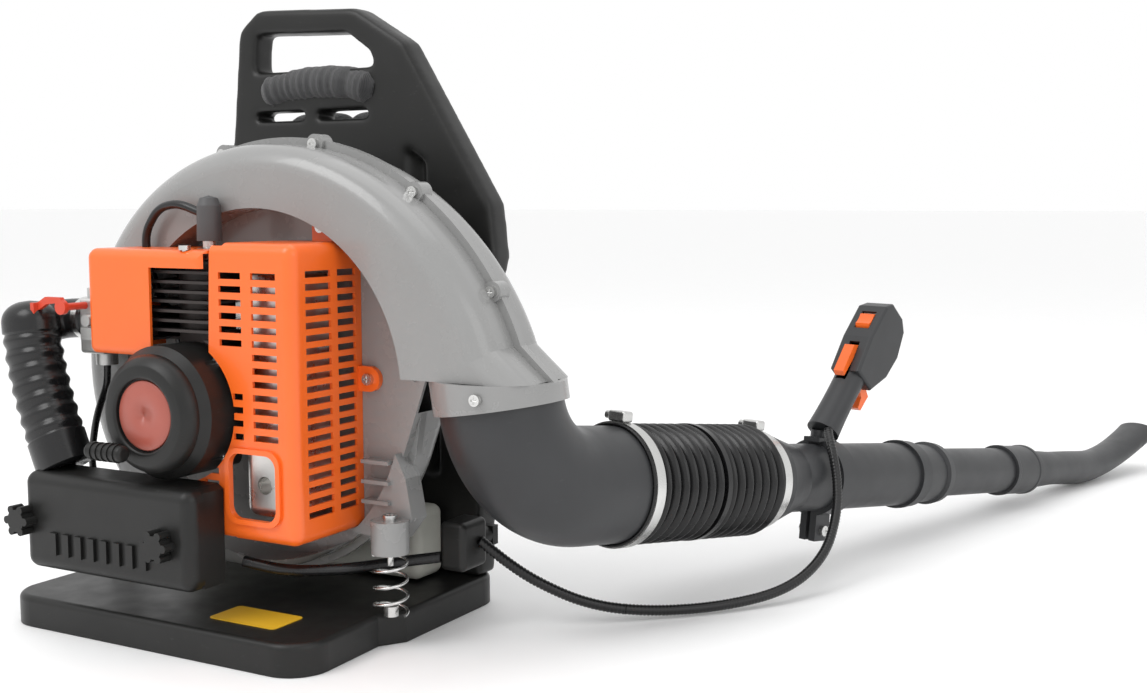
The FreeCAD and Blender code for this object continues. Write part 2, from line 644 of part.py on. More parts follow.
def make_intake():
    """Insulator, carburettor, duct and air box."""
    y = d.intake_y
    barrel = rod(27, Vector(d.crank_x, d.cylinder_y, 200), Vector(d.crank_x, d.cylinder_y, 300))
    fins = block((d.crank_x - d.fin_half - 1, d.crank_x), (-100, 0), (200, 300))
    plain("intake_insulator", block((-84, d.crank_x - 20), (y - 12, y + 14), (238, 262))
          .cut(rod(7, Vector(-90, y, 250), Vector(10, y, 250))).cut(barrel).cut(fins))
    body = block((-112, -84.1), (y - 16, y + 19.5), (222, 268))
    body = body.makeFillet(3, body.Edges).fuse(rod(14, Vector(-98, y, 268), Vector(-98, y, 276)))
    body = body.fuse(block((-106, -90), (y - 20, y - 14), (234, 244)))
    body = body.fuse(rod(5, Vector(-98, y - 22, 250), Vector(-98, y - 14, 250)))
    body = body.fuse(rod(9, Vector(-98, y, 212), Vector(-98, y, 223)))
    body = body.cut(rod(8, Vector(-120, y, 250), Vector(-80, y, 250)))
    plain("carburetor", body.cut(rod(3.05, Vector(-104, y - 60, 262), Vector(-104, y + 3, 262))))
    foot = Vector(-106, -106, d.box_high - 8)
    top = Vector(d.duct_x, -99, d.duct_top - d.duct_radius)
    knee, mouth = Vector(-132, y, 250), Vector(-100, y, 250)

    def duct(radius):
        narrow = radius - 3
        return rod(radius, foot, top).fuse([
            Part.makeSphere(radius, top), rod(narrow, top, knee),
            Part.makeSphere(narrow, knee), rod(narrow, knee, mouth)])

    under = block((-200, 0), (-200, 0), (0, d.box_high + 0.05))
    beyond = block((-112.05, 0), (-200, 0), (200, 300))
    hollow = duct(d.duct_radius).cut(duct(d.duct_radius - d.pipe_wall))
    plain("intake_duct", hollow.cut(under).cut(beyond))
    shell = slab("air_box_case", "XZ_Plane", [
        ("-box_left", "box_low + 14"), ("-box_left + 14", "box_low"), ("box_right", "box_low"),
        ("box_right", "box_high - 4"), ("box_right - 6", "box_high"), ("-box_left", "box_high")],
        "box_deep - 16", True)
    shell.Placement = Placement(Vector(0, 16 - d.box_front, 0), Rotation())
    pocketed(shell, "XZ_Plane", [
        ("-box_left + 4", "box_low + 16"), ("-box_left + 16", "box_low + 4"),
        ("box_right - 4", "box_low + 4"), ("box_right - 4", "box_high - 4"),
        ("-box_left + 4", "box_high - 4")], "2 * (box_deep - 19)", False, True)
    rounded(shell, "6", lambda edge: along_y(edge) and edge.BoundBox.XMin < -d.box_left + 20
            and edge.BoundBox.XMin > -d.box_left - 1 and edge.BoundBox.YLength > 21)
    split = -d.box_front + 15.9
    cover = round_block((-d.box_left - 1.5, d.box_right + 1.5), (-d.box_front, split + 12),
                        (d.box_low - 1.5, d.box_high), 10)
    cover = cover.common(block((-300, 300), (-300, split), (0, 300)))
    for k in range(8):
        left = -92 + 14 * k
        cover = cover.fuse(block((left, left + 7), (-d.box_front - 2.5, -d.box_front + 1),
                                 (66, 84)))
    cover = cover.cut(block((-d.box_left + 3, d.box_right - 3), (split - 8, split + 1),
                            (d.box_low + 3, d.box_high - 4)))
    plain("air_box_cover", cover.removeSplitter())
    back = -d.box_front + d.box_deep
    plain("air_filter", block((-d.box_left + 8, d.box_right - 8), (split + 3, back - 10),
                              (d.box_low + 20, d.box_high - 8)))
    knobs = []
    for x, z in ((2 - d.box_left, 92), (29, 88)):
        at = Vector(x, -d.box_front - 0.05, z)
        knob = rod(9, at, at + Vector(0, -11, 0))
        for k in range(6):
            turn = math.radians(60 * k)
            spot = at + Vector(10 * math.cos(turn), 0, 10 * math.sin(turn))
            knob = knob.fuse(rod(3.2, spot, spot + Vector(0, -11, 0)))
        knobs.append(knob.removeSplitter())
    plain("air_box_knobs", Part.makeCompound(knobs))
    arm_y = y - 42
    lever = rod(3, Vector(-104, arm_y, 262), Vector(-104, y - 1, 262))
    arm = extruded([(-101, arm_y, 266), (-120, arm_y, 264), (-131, arm_y, 258),
                    (-134, arm_y, 263), (-121, arm_y, 270), (-104, arm_y, 270)], (0, 4, 0))
    boss = rod(6, Vector(-104, arm_y, 262), Vector(-104, arm_y + 4, 262))
    tip = block((-134, -130), (arm_y - 4, arm_y + 3), (256, 265))
    plain("choke_lever", lever.fuse([boss, arm, tip]).removeSplitter())


def largest(shape):
    """The main solid of a cut sheet, without its off-cuts."""
    return max(shape.Solids, key=lambda solid: solid.Volume)


def bulge_room():
    """The space of the case's raised scroll, which the covers keep clear of."""
    room = block((-300, 300), (-d.case_half - 0.4, 0), (0, 500))
    middle = Vector(d.recess_x, -d.case_half - 2, d.recess_z)
    return room.cut(rod(d.recess_radius - 0.4, middle, middle + Vector(0, 60, 0)))


def make_exhaust():
    """Muffler and its slotted guard."""
    muffler = round_block((65, 114), (-84, -26), (104, 292), 9)
    flange = block((d.crank_x + d.fin_half + 0.5, 66), (-68, -44), (248, 276))
    outlet = rod(7, Vector(86, -90, 130), Vector(86, -70, 130))
    plain("muffler", muffler.fuse(flange).cut(outlet).removeSplitter())
    wall = d.sheet_wall
    back = d.recess_floor + 0.3
    guard = block((d.guard_left - 30, d.guard_right), (-d.guard_front, -back),
                  (d.guard_low, d.guard_high))
    guard = guard.makeFillet(9, [
        edge for edge in guard.Edges if edge.BoundBox.YMin < -back - 1
        and (edge.BoundBox.XMin > d.guard_left + 5 or edge.BoundBox.YMax < 2 - d.guard_front)])
    room = block((d.guard_left - 40, d.guard_right - wall), (wall - d.guard_front, 0),
                 (d.guard_low + wall, d.guard_high - wall))
    guard = guard.cut(room.makeFillet(9 - wall, [
        edge for edge in room.Edges if edge.BoundBox.YMin < -back - 1
        and (edge.BoundBox.XMin > d.guard_left + 5
             or edge.BoundBox.YMax < wall + 2 - d.guard_front)]))
    # the left edge flares out towards the bottom
    left_cut = extruded([(-60, -120, d.guard_high + 5), (d.guard_left + 16, -120, d.guard_high + 5),
                         (d.guard_left + 12, -120, 215), (d.guard_left + 2, -120, 140),
                         (d.guard_left - 8, -120, 125), (d.guard_left - 8, -120, d.guard_low - 5),
                         (-60, -120, d.guard_low - 5)], (0, 120, 0))
    guard = guard.cut(left_cut)
    starter_room = crank_ring(d.starter_radius + 5, 0, d.starter_back - 8, 200)
    guard = guard.cut(bulge_room()).cut(starter_room)
    guard = guard.cut(block((-40, d.crank_x + 46), (-92, 0), (200, 330)))
    guard = guard.cut(block((-40, d.crank_x + 53), (-92, 0), (60, 200)))
    slots = []
    rise = d.slot_high
    pitch = (d.guard_high - d.guard_low - 36) / d.slot_rows
    side = (d.guard_right - wall - 1, d.guard_right + 1)
    for k in range(int(d.slot_rows)):
        low = d.guard_low + 20 + pitch * k
        slots.append(block(side, (-80, -50), (low, low + rise)))
        slots.append(block(side, (-42, -20), (low, low + rise)))
    front = (-d.guard_front - 1, wall - d.guard_front + 1)
    pitch = (d.guard_high - 178) / (d.front_rows + 0.5)
    for k in range(int(d.front_rows)):
        low = 166 + pitch * k
        slots.append(block((86, 110), front, (low, low + rise)))
        if low > 228:
            slots.append(block((54, 76), front, (low, low + rise)))
        elif low < 200:
            slots.append(block((66, 76), front, (low, low + rise)))
    window = block((62, 108), (-d.guard_front - 4, wall - d.guard_front + 1),
                   (d.guard_low + 18, 156))
    window = window.makeFillet(10, [edge for edge in window.Edges if along_y(edge)])
    rim = block((58, 112), (-d.guard_front - 2.5, 1 - d.guard_front), (d.guard_low + 14, 160))
    rim = rim.makeFillet(12, [edge for edge in rim.Edges if along_y(edge)])
    for k in range(4):
        low = d.guard_low + 20 + pitch * k
        slots.append(block((36, 50), front, (low, low + rise)))
    guard = guard.fuse(rim).cut(window).cut(Part.makeCompound(slots))
    for x, z in ((92, d.guard_high + 11), (d.guard_right + 10, 208)):
        tab = rod(10, Vector(x, -17, z), Vector(x, -back, z))
        if x > d.guard_right:
            tab = tab.fuse(block((d.guard_right - wall, x), (-17, -back), (z - 10, z + 10)))
        else:
            tab = tab.fuse(block((x - 10, x + 10), (-17, -back), (d.guard_high - wall, z)))
        body_screws.append(screw((x, -17.02, z), (0, -1, 0), 4, 4.6))
        guard = guard.fuse(tab).cut(rod(2.1, Vector(x, -20, z), Vector(x, 0, z)))
    case = [item for item in pieces if item.Label == "fan_case_front"][0]
    plain("muffler_guard", largest(guard.cut(case.Shape)).removeSplitter())


def make_cylinder_cover():
    """A smooth shroud left of the cylinder, open at its right front and underneath."""
    wall = d.sheet_wall
    right = 44
    shell = block((-d.cover_left, right), (-d.cover_front, -14), (d.cover_low, d.cover_high))
    shell = shell.makeFillet(8, [edge for edge in shell.Edges if edge.BoundBox.YMax < 2
                                 - d.cover_front or edge.BoundBox.XMax < 2 - d.cover_left])
    shell = shell.cut(block((wall - d.cover_left, right + 1), (wall - d.cover_front, 0),
                            (d.cover_low - 5 + wall, d.cover_high - wall)))
    shell = shell.cut(block((-13, right + 1), (-d.cover_front - 1, wall - d.cover_front + 5),
                            (d.cover_low + 8, d.cover_high - 14)))
    shell = shell.cut(block((-d.cover_left - 1, wall - d.cover_left + 9), (-82, -45.6), (231, 275)))
    shell = shell.cut(rod(d.lead_radius + 3, Vector(-62, -53.5, 290), Vector(-62, -53.5, 330)))
    shell = shell.cut(bulge_room())
    shell = shell.cut(rod(13, Vector(d.crank_x, d.cylinder_y, 290),
                          Vector(d.crank_x, d.cylinder_y, 330)))
    shell = shell.cut(crank_ring(d.starter_radius + 2, 0, d.starter_back - 4, 200))
    spot = (20, -94, d.cover_high)
    shell = shell.cut(rod(2.1, Vector(*spot) - Vector(0, 0, 9), Vector(*spot) + Vector(0, 0, 3)))
    plain("cylinder_cover", largest(shell).removeSplitter())
    body_screws.append(screw(spot, (0, 0, 1), 8, 4.6))


def make_starter():
    """Recoil housing, badge, reel, spring, rope guide, rope and handle."""
    back = "-starter_back"
    face = "-starter_front"
    lathe("starter_housing", [
        ("starter_radius - 3", back), ("starter_radius", back), ("starter_radius", face + " + 16"),
        ("starter_radius - 7", face + " + 8"), ("starter_radius - 14", face + " + 3"),
        ("badge_radius + 4", face), ("0", face), ("0", face + " + 3"),
        ("badge_radius + 3", face + " + 3"), ("starter_radius - 16", face + " + 6"),
        ("starter_radius - 10", face + " + 11"), ("starter_radius - 3", face + " + 18")],
        crank_frame)
    housing = pieces.pop()
    housing.Label = "starter_turned"
    ears = []
    screws = []
    for angle in (48, -42, 222, 138):
        spot = polar(angle, d.starter_radius + 1)
        spot.y = -d.starter_back
        ears.append(rod(7, spot, spot + Vector(0, -10, 0)))
        screws.append(screw((spot.x, -d.starter_back - 10.02, spot.z), (0, -1, 0), 9, 4.2))
    guide = Vector(d.handle_x, 0, d.handle_z)
    tunnel = pipe(7, 3, guide + Vector(0, -115, 0), guide + Vector(0, -d.starter_front, 0))
    shell = housing.Shape.fuse(ears).fuse(tunnel)
    inside = crank_ring(d.starter_radius - 3, 0, d.starter_back - 5, d.starter_front - 20)
    shell = shell.cut(inside)
    shell = shell.cut(rod(3, guide + Vector(0, -100, 0), guide + Vector(0, -140, 0)))
    for ear in ears:
        shell = shell.cut(rod(1.9, ear.CenterOfMass + Vector(0, 20, 0),
                              ear.CenterOfMass - Vector(0, 20, 0)))
    for k in range(4):
        vent = block((-d.starter_radius - 4, -d.starter_radius + 12), (-88 - 7 * k, -85 - 7 * k),
                     (-9, 9))
        vent.rotate(Vector(0, 0, 0), Vector(0, 1, 0), -38)
        vent.translate(Vector(d.crank_x, 0, d.crank_z))
        shell = shell.cut(vent)
    spindle = crank_ring(5, 0, 107, d.starter_front - 1)
    plain("starter_housing", shell.fuse(spindle).removeSplitter())
    body_screws.extend(screws)
    lathe("starter_reel", [("5.05", "-125"), ("reel_radius", "-125"), ("reel_radius", "-123"),
                           ("reel_radius - 4", "-121.5"), ("reel_radius - 4", "-119.5"),
                           ("reel_radius", "-118"), ("reel_radius", "-116"), ("5.05", "-116")],
          crank_frame)
    lathe("recoil_spring", [("16", "-115.5"), ("28", "-115.5"), ("28", "-109"), ("16", "-109")],
          crank_frame)
    front_y = -d.starter_front
    plain("starter_rope", rod(d.rope_radius, guide + Vector(0, -116, 0),
                              guide + Vector(0, front_y - 4, 0)))
    grip_y = front_y - 15.5
    bar = rod(6.5, guide + Vector(-19, grip_y, 0), guide + Vector(19, grip_y, 0))
    bar = bar.makeFillet(3, bar.Edges[:1] + bar.Edges[2:])
    stem = Part.makeCone(5, 7, 8, guide + Vector(0, front_y - 3.9, 0), Vector(0, -1, 0))
    grip = bar.fuse(stem)
    for k in (-12, -6, 0, 6, 12):
        grip = grip.fuse(pipe(7.3, 5, guide + Vector(k - 1.2, grip_y, 0),
                              guide + Vector(k + 1.2, grip_y, 0)))
    plain("starter_handle", grip.cut(rod(d.rope_radius + 0.01, guide + Vector(0, front_y - 4, 0),
                                         guide + Vector(0, front_y, 0))).removeSplitter())


def make_fuel():
    low = d.tank_low
    tank = round_block((-d.tank_half, d.tank_half), (d.tank_front, d.tank_back), (low, d.tank_high),
                       8)
    inner = round_block((3 - d.tank_half, d.tank_half - 3), (d.tank_front + 3, d.tank_back - 3),
                        (low + 3, d.tank_high - 3), 5)
    middle = (d.tank_front + d.tank_back) / 2
    neck_at = Vector(-d.tank_half + 26, middle, d.tank_high)
    tank = tank.cut(inner).fuse(pipe(13, 10, neck_at - Vector(0, 0, 2), neck_at
                                     + Vector(0, 0, 9))).cut(rod(10, neck_at - Vector(0, 0, 9),
                                                                 neck_at + Vector(0, 0, 20)))
    plain("fuel_tank", tank.removeSplitter())
    lathe("fuel_cap", [("0", "9.3"), ("13.3", "9.3"), ("13.3", "1"), ("17", "1"), ("17", "15"),
                       ("14", "18"), ("0", "18")], Placement(neck_at, Rotation()))
    line = swept([(-98, d.intake_y, 213), (-99, d.intake_y, 196), (-118, -62, 165),
                  (-138, -52, 120), (-150, -25, 75), (-151, 20, 50), (-146, 48, 46),
                  (-131.5, 62, 45)], d.fuel_radius, note="fuel_line")
    line = line.cut(block((-110, -80), (-90, -40), (211.98, 230)))
    plain("fuel_line", line.cut(block((-d.tank_half - 0.02, 0), (50, 90), (20, 80))))


# ---------------------------------------------------------------- outlet, hose and pipes

def on_outlet(height):
    """The point of the outlet's tilted axis at a height."""
    return corner - outlet_way * ((height - d.corner_z) / math.cos(math.radians(d.collar_tilt)))


def outlet_collar():
    """The round socket under the scroll's mouth that the elbow pushes into."""
    start = on_outlet(d.mouth_z + 6)
    collar = pipe(d.collar_radius + 1.5, d.elbow_radius + 0.06, start,
                  on_outlet(d.mouth_z - d.collar_long))
    side = Vector(12, -d.collar_radius - 1, 0)
    body_screws.append(screw(on_outlet(d.mouth_z - 10) + side, (0, -1, 0), 1.5, 4.4))
    return collar.cut(block((0, 400), (-90, 90), (d.mouth_z, 400)))


def make_elbow():
    down = outlet_way
    seat = on_outlet(d.mouth_z - d.collar_long)
    end = tube_frame.Base
    turn = down.getAngle(tube_axis)
    reach = d.elbow_bend * math.tan(turn / 2)
    enter = corner - down * reach
    leave = corner + tube_axis * reach
    inward = ((enter + leave) * 0.5 - corner).normalize()
    peak = corner + inward * (math.hypot(d.elbow_bend, reach) - d.elbow_bend)
    begin = seat - down * 6
    shells = []
    for radius, extra in ((d.elbow_radius, 0), (d.elbow_radius - d.pipe_wall, 0.5)):
        path = Part.Wire([Part.LineSegment(begin - down * extra, enter).toShape(),
                          Part.Arc(enter, peak, leave).toShape(),
                          Part.LineSegment(leave, end + tube_axis * (8 + extra)).toShape()])
        circle = Part.Wire([Part.Circle(begin - down * extra, down, radius).toShape()])
        shells.append(path.makePipeShell([circle], True, False))
    plain("outlet_elbow", shells[0].cut(shells[1]))


def hose_profile(first, last, cuff_at_start, outer_cuff):
    """Corners of the bellows' section: ribs between a valley and a crest, with one plain cuff."""
    crest = "hose_radius"
    valley = "hose_valley"
    outline_out = []
    count = int(d.hose_ribs)
    cuff = d.hose_end_long
    low = first + (cuff if cuff_at_start else 0)
    high = last - (0 if cuff_at_start else cuff)
    pitch = (high - low) / count
    if cuff_at_start:
        outline_out += [(outer_cuff, str(first)), (outer_cuff, str(low))]
    for k in range(count):
        at = low + pitch * k
        outline_out += [(valley, "%.3f" % (at + 0.12 * pitch)),
                        (crest + " - 1", "%.3f" % (at + 0.34 * pitch)),
                        (crest, "%.3f" % (at + 0.5 * pitch)),
                        (crest + " - 1", "%.3f" % (at + 0.66 * pitch)),
                        (valley, "%.3f" % (at + 0.88 * pitch))]
    if not cuff_at_start:
        outline_out += [(outer_cuff, str(high)), (outer_cuff, str(last))]
    inner = [(radius + " - pipe_wall", height) for radius, height in reversed(outline_out)]
    return outline_out + inner


def make_hose():
    middle = d.hose_long / 2
    ring = 3
    lathe("hose_inner_half", hose_profile(0, middle - ring, True, "elbow_radius + pipe_wall"),
          tube_frame)
    lathe("hose_outer_half", hose_profile(middle + ring, d.hose_long, False,
                                          "swivel_radius + 2 * pipe_wall + 7"), tube_frame)
    lathe("hose_middle_ring", [
        ("hose_valley - pipe_wall", str(middle - ring + 0.02)),
        ("hose_radius + 0.5", str(middle - ring + 0.02)),
        ("hose_radius + 0.5", str(middle + ring - 0.02)),
        ("hose_valley - pipe_wall", str(middle + ring - 0.02))], tube_frame)
    for label, radius, at in (("hose_clamp_inner", "elbow_radius + pipe_wall + 0.02", 2),
                              ("hose_clamp_outer", "swivel_radius + 2 * pipe_wall + 7.02",
                               d.hose_long - 12)):
        band = lathe(label, [(radius, str(at)), (radius + " + 1.4", str(at)),
                             (radius + " + 1.4", "%.1f" % (at + 10)), (radius, "%.1f" % (at + 10))])
        pieces.pop()
        band.Label = label + "_band"
        reach = (band.Shape.BoundBox.XLength / 2) - 0.3
        worm = round_block((-9, 9), (reach, reach + 9), (at - 1, at + 11), 2)
        worm_screw = rod(3.4, Vector(8, reach + 4.5, at + 5), Vector(15, reach + 4.5, at + 5))
        plain(label, band.Shape.fuse(worm).fuse(worm_screw), tube_frame)


def make_pipes():
    """Swivel pipe, two blower pipes with bayonet collars, and the bent fishtail nozzle."""
    gap = "fit_gap"
    hose_end = d.hose_long
    lathe("swivel_pipe", [
        ("swivel_radius - pipe_wall", str(hose_end - 14)),
        ("swivel_radius + pipe_wall + 7", str(hose_end - 14)),
        ("swivel_radius + pipe_wall + 7", str(hose_end + 10)),
        ("swivel_radius + 4", str(hose_end + 30)), ("swivel_radius", str(hose_end + 46)),
        ("swivel_radius", "swivel_end - 6"), ("swivel_radius + collar_wide", "swivel_end - 6"),
        ("swivel_radius + collar_wide", "swivel_end"), ("swivel_radius - pipe_wall", "swivel_end")],
        tube_frame)
    start = "swivel_end + " + gap
    join_end = "swivel_end + pipe_join"
    lathe("pipe_turned", [
        ("pipe_radius - 3 * pipe_wall", "swivel_end - 24"),
        ("swivel_radius - pipe_wall - fit_gap", "swivel_end - 24"),
        ("swivel_radius - pipe_wall - fit_gap", start), ("pipe_radius + collar_wide", start),
        ("pipe_radius + collar_wide", "swivel_end + 12"), ("pipe_radius", "swivel_end + 14"),
        ("pipe_radius - 1", join_end + " - 12"), ("pipe_radius + 2", join_end + " - 10"),
        ("pipe_radius + 1", join_end), ("pipe_two_radius + 0.6", join_end + " + 4"),
        ("pipe_two_radius", "pipe_two_end - 30"),
        ("pipe_two_radius - pipe_wall", "pipe_two_end - 30"),
        ("pipe_two_radius - pipe_wall", join_end + " + 4"),
        ("pipe_radius - 3 * pipe_wall", join_end + " - 10")], tube_frame)
    tube_of_pipe = pieces.pop()
    lathe("sleeve_turned", [
        ("pipe_two_radius + fit_gap", "pipe_two_end - 56"),
        ("pipe_two_radius + 3.5", "pipe_two_end - 56"), ("pipe_two_radius + 3.5", "pipe_two_end - 50"),
        ("pipe_two_radius + 2.6", "pipe_two_end - 48"), ("pipe_two_radius + 2.6", "pipe_two_end - 6"),
        ("pipe_two_radius + 3.5", "pipe_two_end - 4"), ("pipe_two_radius + 3.5", "pipe_two_end"),
        ("nozzle_radius + 2", "pipe_two_end"), ("nozzle_radius + 2", "pipe_two_end + 18"),
        ("nozzle_radius + fit_gap", "pipe_two_end + 18"),
        ("nozzle_radius + fit_gap", "pipe_two_end - 29.7"),
        ("pipe_two_radius + fit_gap", "pipe_two_end - 29.7")], tube_frame)
    sleeve = pieces.pop()
    plain("blower_pipe", Part.makeCompound([tube_of_pipe.Shape, sleeve.Shape]))
    long = d.nozzle_end - d.nozzle_bend
    first = d.pipe_two_end - 28
    straight = d.nozzle_bend - first
    up = Vector(0, 0, 1)
    stations = [(Vector(0, 0, first + straight * k / 4), up, 0) for k in range(4)]
    steps = 6
    for k in range(steps + 1):
        part = k / steps
        slope = math.atan2(d.nozzle_rise * 1.7 * part ** 0.7, long)
        stations.append((Vector(0, d.nozzle_rise * part ** 1.7, d.nozzle_bend + long * part),
                         Vector(0, math.sin(slope), math.cos(slope)), part))

    def flared(stations, less):
        rings = []
        for centre, facing, part in stations:
            wide = d.nozzle_radius + (d.nozzle_wide - d.nozzle_radius) * part ** 1.5
            high = d.nozzle_radius + (d.nozzle_thin - d.nozzle_radius) * part
            rings.append(ellipse_wire(centre, wide - less + 0.001, high - less, facing))
        return Part.makeLoft(rings, True)

    tip, way, full = stations[-1]
    inside = [(Vector(0, 0, first - 1), up, 0)] + stations + [(tip + way, way, full)]
    clearance = pipe(d.nozzle_radius + 10, d.nozzle_radius + 0.15, Vector(0, 0, first - 2),
                     Vector(0, 0, d.pipe_two_end + 18.5))
    plain("nozzle", flared(stations, 0).cut(flared(inside, 2)).cut(clearance), tube_frame)


def grip_solid(shrink):
    """The grip as a stack of rounded sections, with a wide flat head at its top."""
    r = d.grip_radius - shrink
    head = d.grip_long - d.head_long
    sections = [(0, r + 1, r + 1, 0), (30, r, r - 1, 0), (head - 20, r, r + 0.5, 0)]
    rings = [ellipse_wire(Vector(0, offset, height), wide + 0.001, deep, Vector(0, 0, 1))
             for height, wide, deep, offset in sections]
    shaft = Part.makeLoft(rings, True)
    tip = d.grip_long - shrink
    back = -r - 3
    top = extruded([(0, back + 4, head - 34 + shrink), (0, r + 2, head - 34 + shrink),
                    (0, r + 15, head - 8 + shrink), (0, r + 17, head + 18), (0, r + 8, tip - 8),
                    (0, r - 4, tip), (0, back + 6, tip), (0, back - 2, tip - 10),
                    (0, back - 2, head + 4)], (2 * (r + 2), 0, 0))
    top.translate(Vector(-r - 2, 0, 0))
    if shrink < 1:
        top = top.makeFillet(3, [edge for edge in top.Edges if edge.BoundBox.XLength < 0.01])
    return shaft.fuse(top)


def make_grip():
    """Ring clamp on the swivel pipe, the grip's two shells and its controls."""
    at = d.ring_at
    half = d.ring_wide / 2
    inner = d.swivel_radius + 0.02
    outer = inner + d.ring_thick
    ring = pipe(outer, inner, Vector(0, 0, at - half), Vector(0, 0, at + half))
    neck = rod(8, Vector(4, outer - 3, at), Vector(4, d.grip_foot + 1, at))
    lugs = block((-9, -2), (-outer - 24, -outer + 4), (at - half, at + half))
    lugs = lugs.fuse(block((2, 9), (-outer - 24, -outer + 4), (at - half, at + half)))
    saddle = block((-9, 9), (outer - 2, outer + 2), (at - half - 6, at + half + 44))
    ring = ring.fuse([neck, lugs, saddle]).cut(rod(inner, Vector(0, 0, at - 90),
                                                   Vector(0, 0, at + 90)))
    ring = ring.cut(block((-2, 2), (-outer - 30, -inner + 2), (at - 30, at + 30)))
    hole_y = -outer - 14
    ring = ring.cut(rod(3.02, Vector(-20, hole_y, at), Vector(20, hole_y, at)))
    cut_plane = rod(60, Vector(0, 0, 0), Vector(0, 0, 80))
    cut_plane.Placement = tube_frame.inverse().multiply(grip_frame)
    ring = ring.cut(cut_plane)
    plain("grip_clamp", ring.removeSplitter(), tube_frame)
    bolt = screw((-9.02, hole_y, at), (-1, 0, 0), 24, 5)
    nut = rod(5.5, Vector(9.05, hole_y, at), Vector(14, hole_y, at))
    fasteners = [bolt.fuse(nut)]
    solid = grip_solid(0)
    hollow = grip_solid(d.grip_wall)
    head = d.grip_long - d.head_long
    low_skin = block((-60, 60), (-60, 60), (0.02, d.grip_wall))
    shell = solid.cut(hollow.cut(low_skin))
    r = d.grip_radius
    wide = d.trigger_wide / 2
    trigger_slot = block((-wide - 0.4, wide + 0.4), (2, r + 30), (head - 52, head - 24))
    lever_slot = block((-wide - 0.4, wide + 0.4), (-r - 6, -r + 7), (head - 44, head - 2))
    switch_slot = block((-8.4, 8.4), (-r - 8, -r + 6), (head + 14, head + 35))
    pivot = Vector(0, 8, head - 28)
    rocker_mid = Vector(0, -r + 2, head + 24.5)
    lever_pivot = Vector(0, -r + 4, head - 8)
    pins = []
    for spot in (pivot, lever_pivot, rocker_mid):
        reach = Vector(r - 0.4, 0, 0)
        pin = rod(1.5, spot - reach, spot + reach)
        pins.append(pin)
    tools = Part.makeCompound([trigger_slot, lever_slot, switch_slot] + pins)
    entry = rod(d.loom_radius - 1, Vector(9.5, -5, -12), Vector(9.5, -5, 4))
    shell = shell.cut(tools).cut(entry)
    plain("grip_shell_left", shell.common(block((0, 60), (-90, 90), (-10, 300))), grip_frame)
    plain("grip_shell_right", shell.common(block((-60, 0), (-90, 90), (-10, 300))), grip_frame)
    to_tube = tube_frame.inverse().multiply(grip_frame)
    for pin in pins:
        moved = pin.copy()
        moved.Placement = to_tube.multiply(moved.Placement)
        fasteners.append(moved)
    plain("grip_fasteners", Part.makeCompound(fasteners), tube_frame)
    rocker = rod(10.2, rocker_mid - Vector(8, 0, 0), rocker_mid + Vector(8, 0, 0))
    rocker = rocker.cut(rod(1.55, rocker_mid - Vector(9, 0, 0), rocker_mid + Vector(9, 0, 0)))
    dent = rod(16, Vector(-9, -r - 21.5, head + 24.5), Vector(9, -r - 21.5, head + 24.5))
    plain("stop_switch", rocker.cut(dent), grip_frame)
    trigger = extruded([(-wide, 5, head - 25), (-wide, 11, head - 25), (-wide, r + 16, head - 32),
                        (-wide, r + 15, head - 50), (-wide, r + 10, head - 51), (-wide, r + 7, head - 40),
                        (-wide, 5, head - 31)],
                       (2 * wide, 0, 0)).cut(rod(1.54, pivot - Vector(20, 0, 0),
                                                 pivot + Vector(20, 0, 0)))
    plain("throttle_trigger", trigger, grip_frame)
    lever = extruded([(-wide, -r + 8, head - 5), (-wide, -r - 2, head - 5), (-wide, -r - 9, head - 10),
                      (-wide, -r - 6, head - 40), (-wide, -r - 1.2, head - 42), (-wide, -r - 0.5, head - 18),
                      (-wide, -r + 7, head - 12)],
                     (2 * wide, 0, 0)).cut(rod(1.54, lever_pivot - Vector(20, 0, 0),
                                               lever_pivot + Vector(20, 0, 0)))
    plain("cruise_lever", lever, grip_frame)


# ---------------------------------------------------------------- cables

LOOM_ROUTE = [(58, -78, 66), (92, -68, 60), (122, -38, 58), (143, -4, 58), (180, 24, 62)]
CABLE_START = [(200, 38, 76), (216, 48, 60), (240, 66, 38), (275, 95, 16)]
CABLE_END = [(315, 132, 7), (360, 180, 6), (396, 232, 12), (412, 280, 32), (411, 316, 62),
             (405, 336, 89)]
CABLE_AT_GRIP = [(30, -12, -26), (16.5, -12, -9), (9.5, -5, 4)]


def make_cables():
    """The block on the right, the engine's loom and the free throttle cable to the grip."""
    hub = round_block((178, 202), (16, 52), (52, 92), 5)
    hub = hub.fuse(rod(8, Vector(190, 51, 72), Vector(190, 70, 72)))
    hub = hub.fuse(block((160, 198), (66, 74), (64, 80)))
    plain("cable_block", hub.removeSplitter())
    loom = swept(LOOM_ROUTE, d.loom_radius, note="engine_loom")
    plain("engine_loom", loom.cut(block((177.98, 203), (0, 60), (40, 95))))
    last = [tuple(grip_frame.multVec(Vector(*point))) for point in CABLE_AT_GRIP]
    whole = swept(CABLE_START + CABLE_END + last, d.loom_radius, note="throttle_cable")
    inside_grip = block((-40, 40), (-60, 60), (-0.02, 60))
    inside_grip.Placement = grip_frame
    whole = whole.cut(inside_grip).cut(block((150, 202.02), (0, 60), (40, 95)))
    split = (CABLE_START[-1][0] + CABLE_END[0][0]) / 2
    far = 900
    plain("throttle_cable_lower", whole.common(block((0, split), (-far, far), (-far, far))))
    plain("throttle_cable_upper", whole.common(block((split, far), (-far, far), (-far, far))))


# ---------------------------------------------------------------- whole

def seat_screws():
    """Drill the hosts for their screws, and gather all the screws in one node."""
    screws = Part.makeCompound(body_screws)
    hosts = ("fan_case_front", "fan_case_rear", "starter_housing")
    for item in pieces:
        if item.Label in hosts:
            item.Shape = item.Shape.cut(screws)
    plain("body_screws", screws)


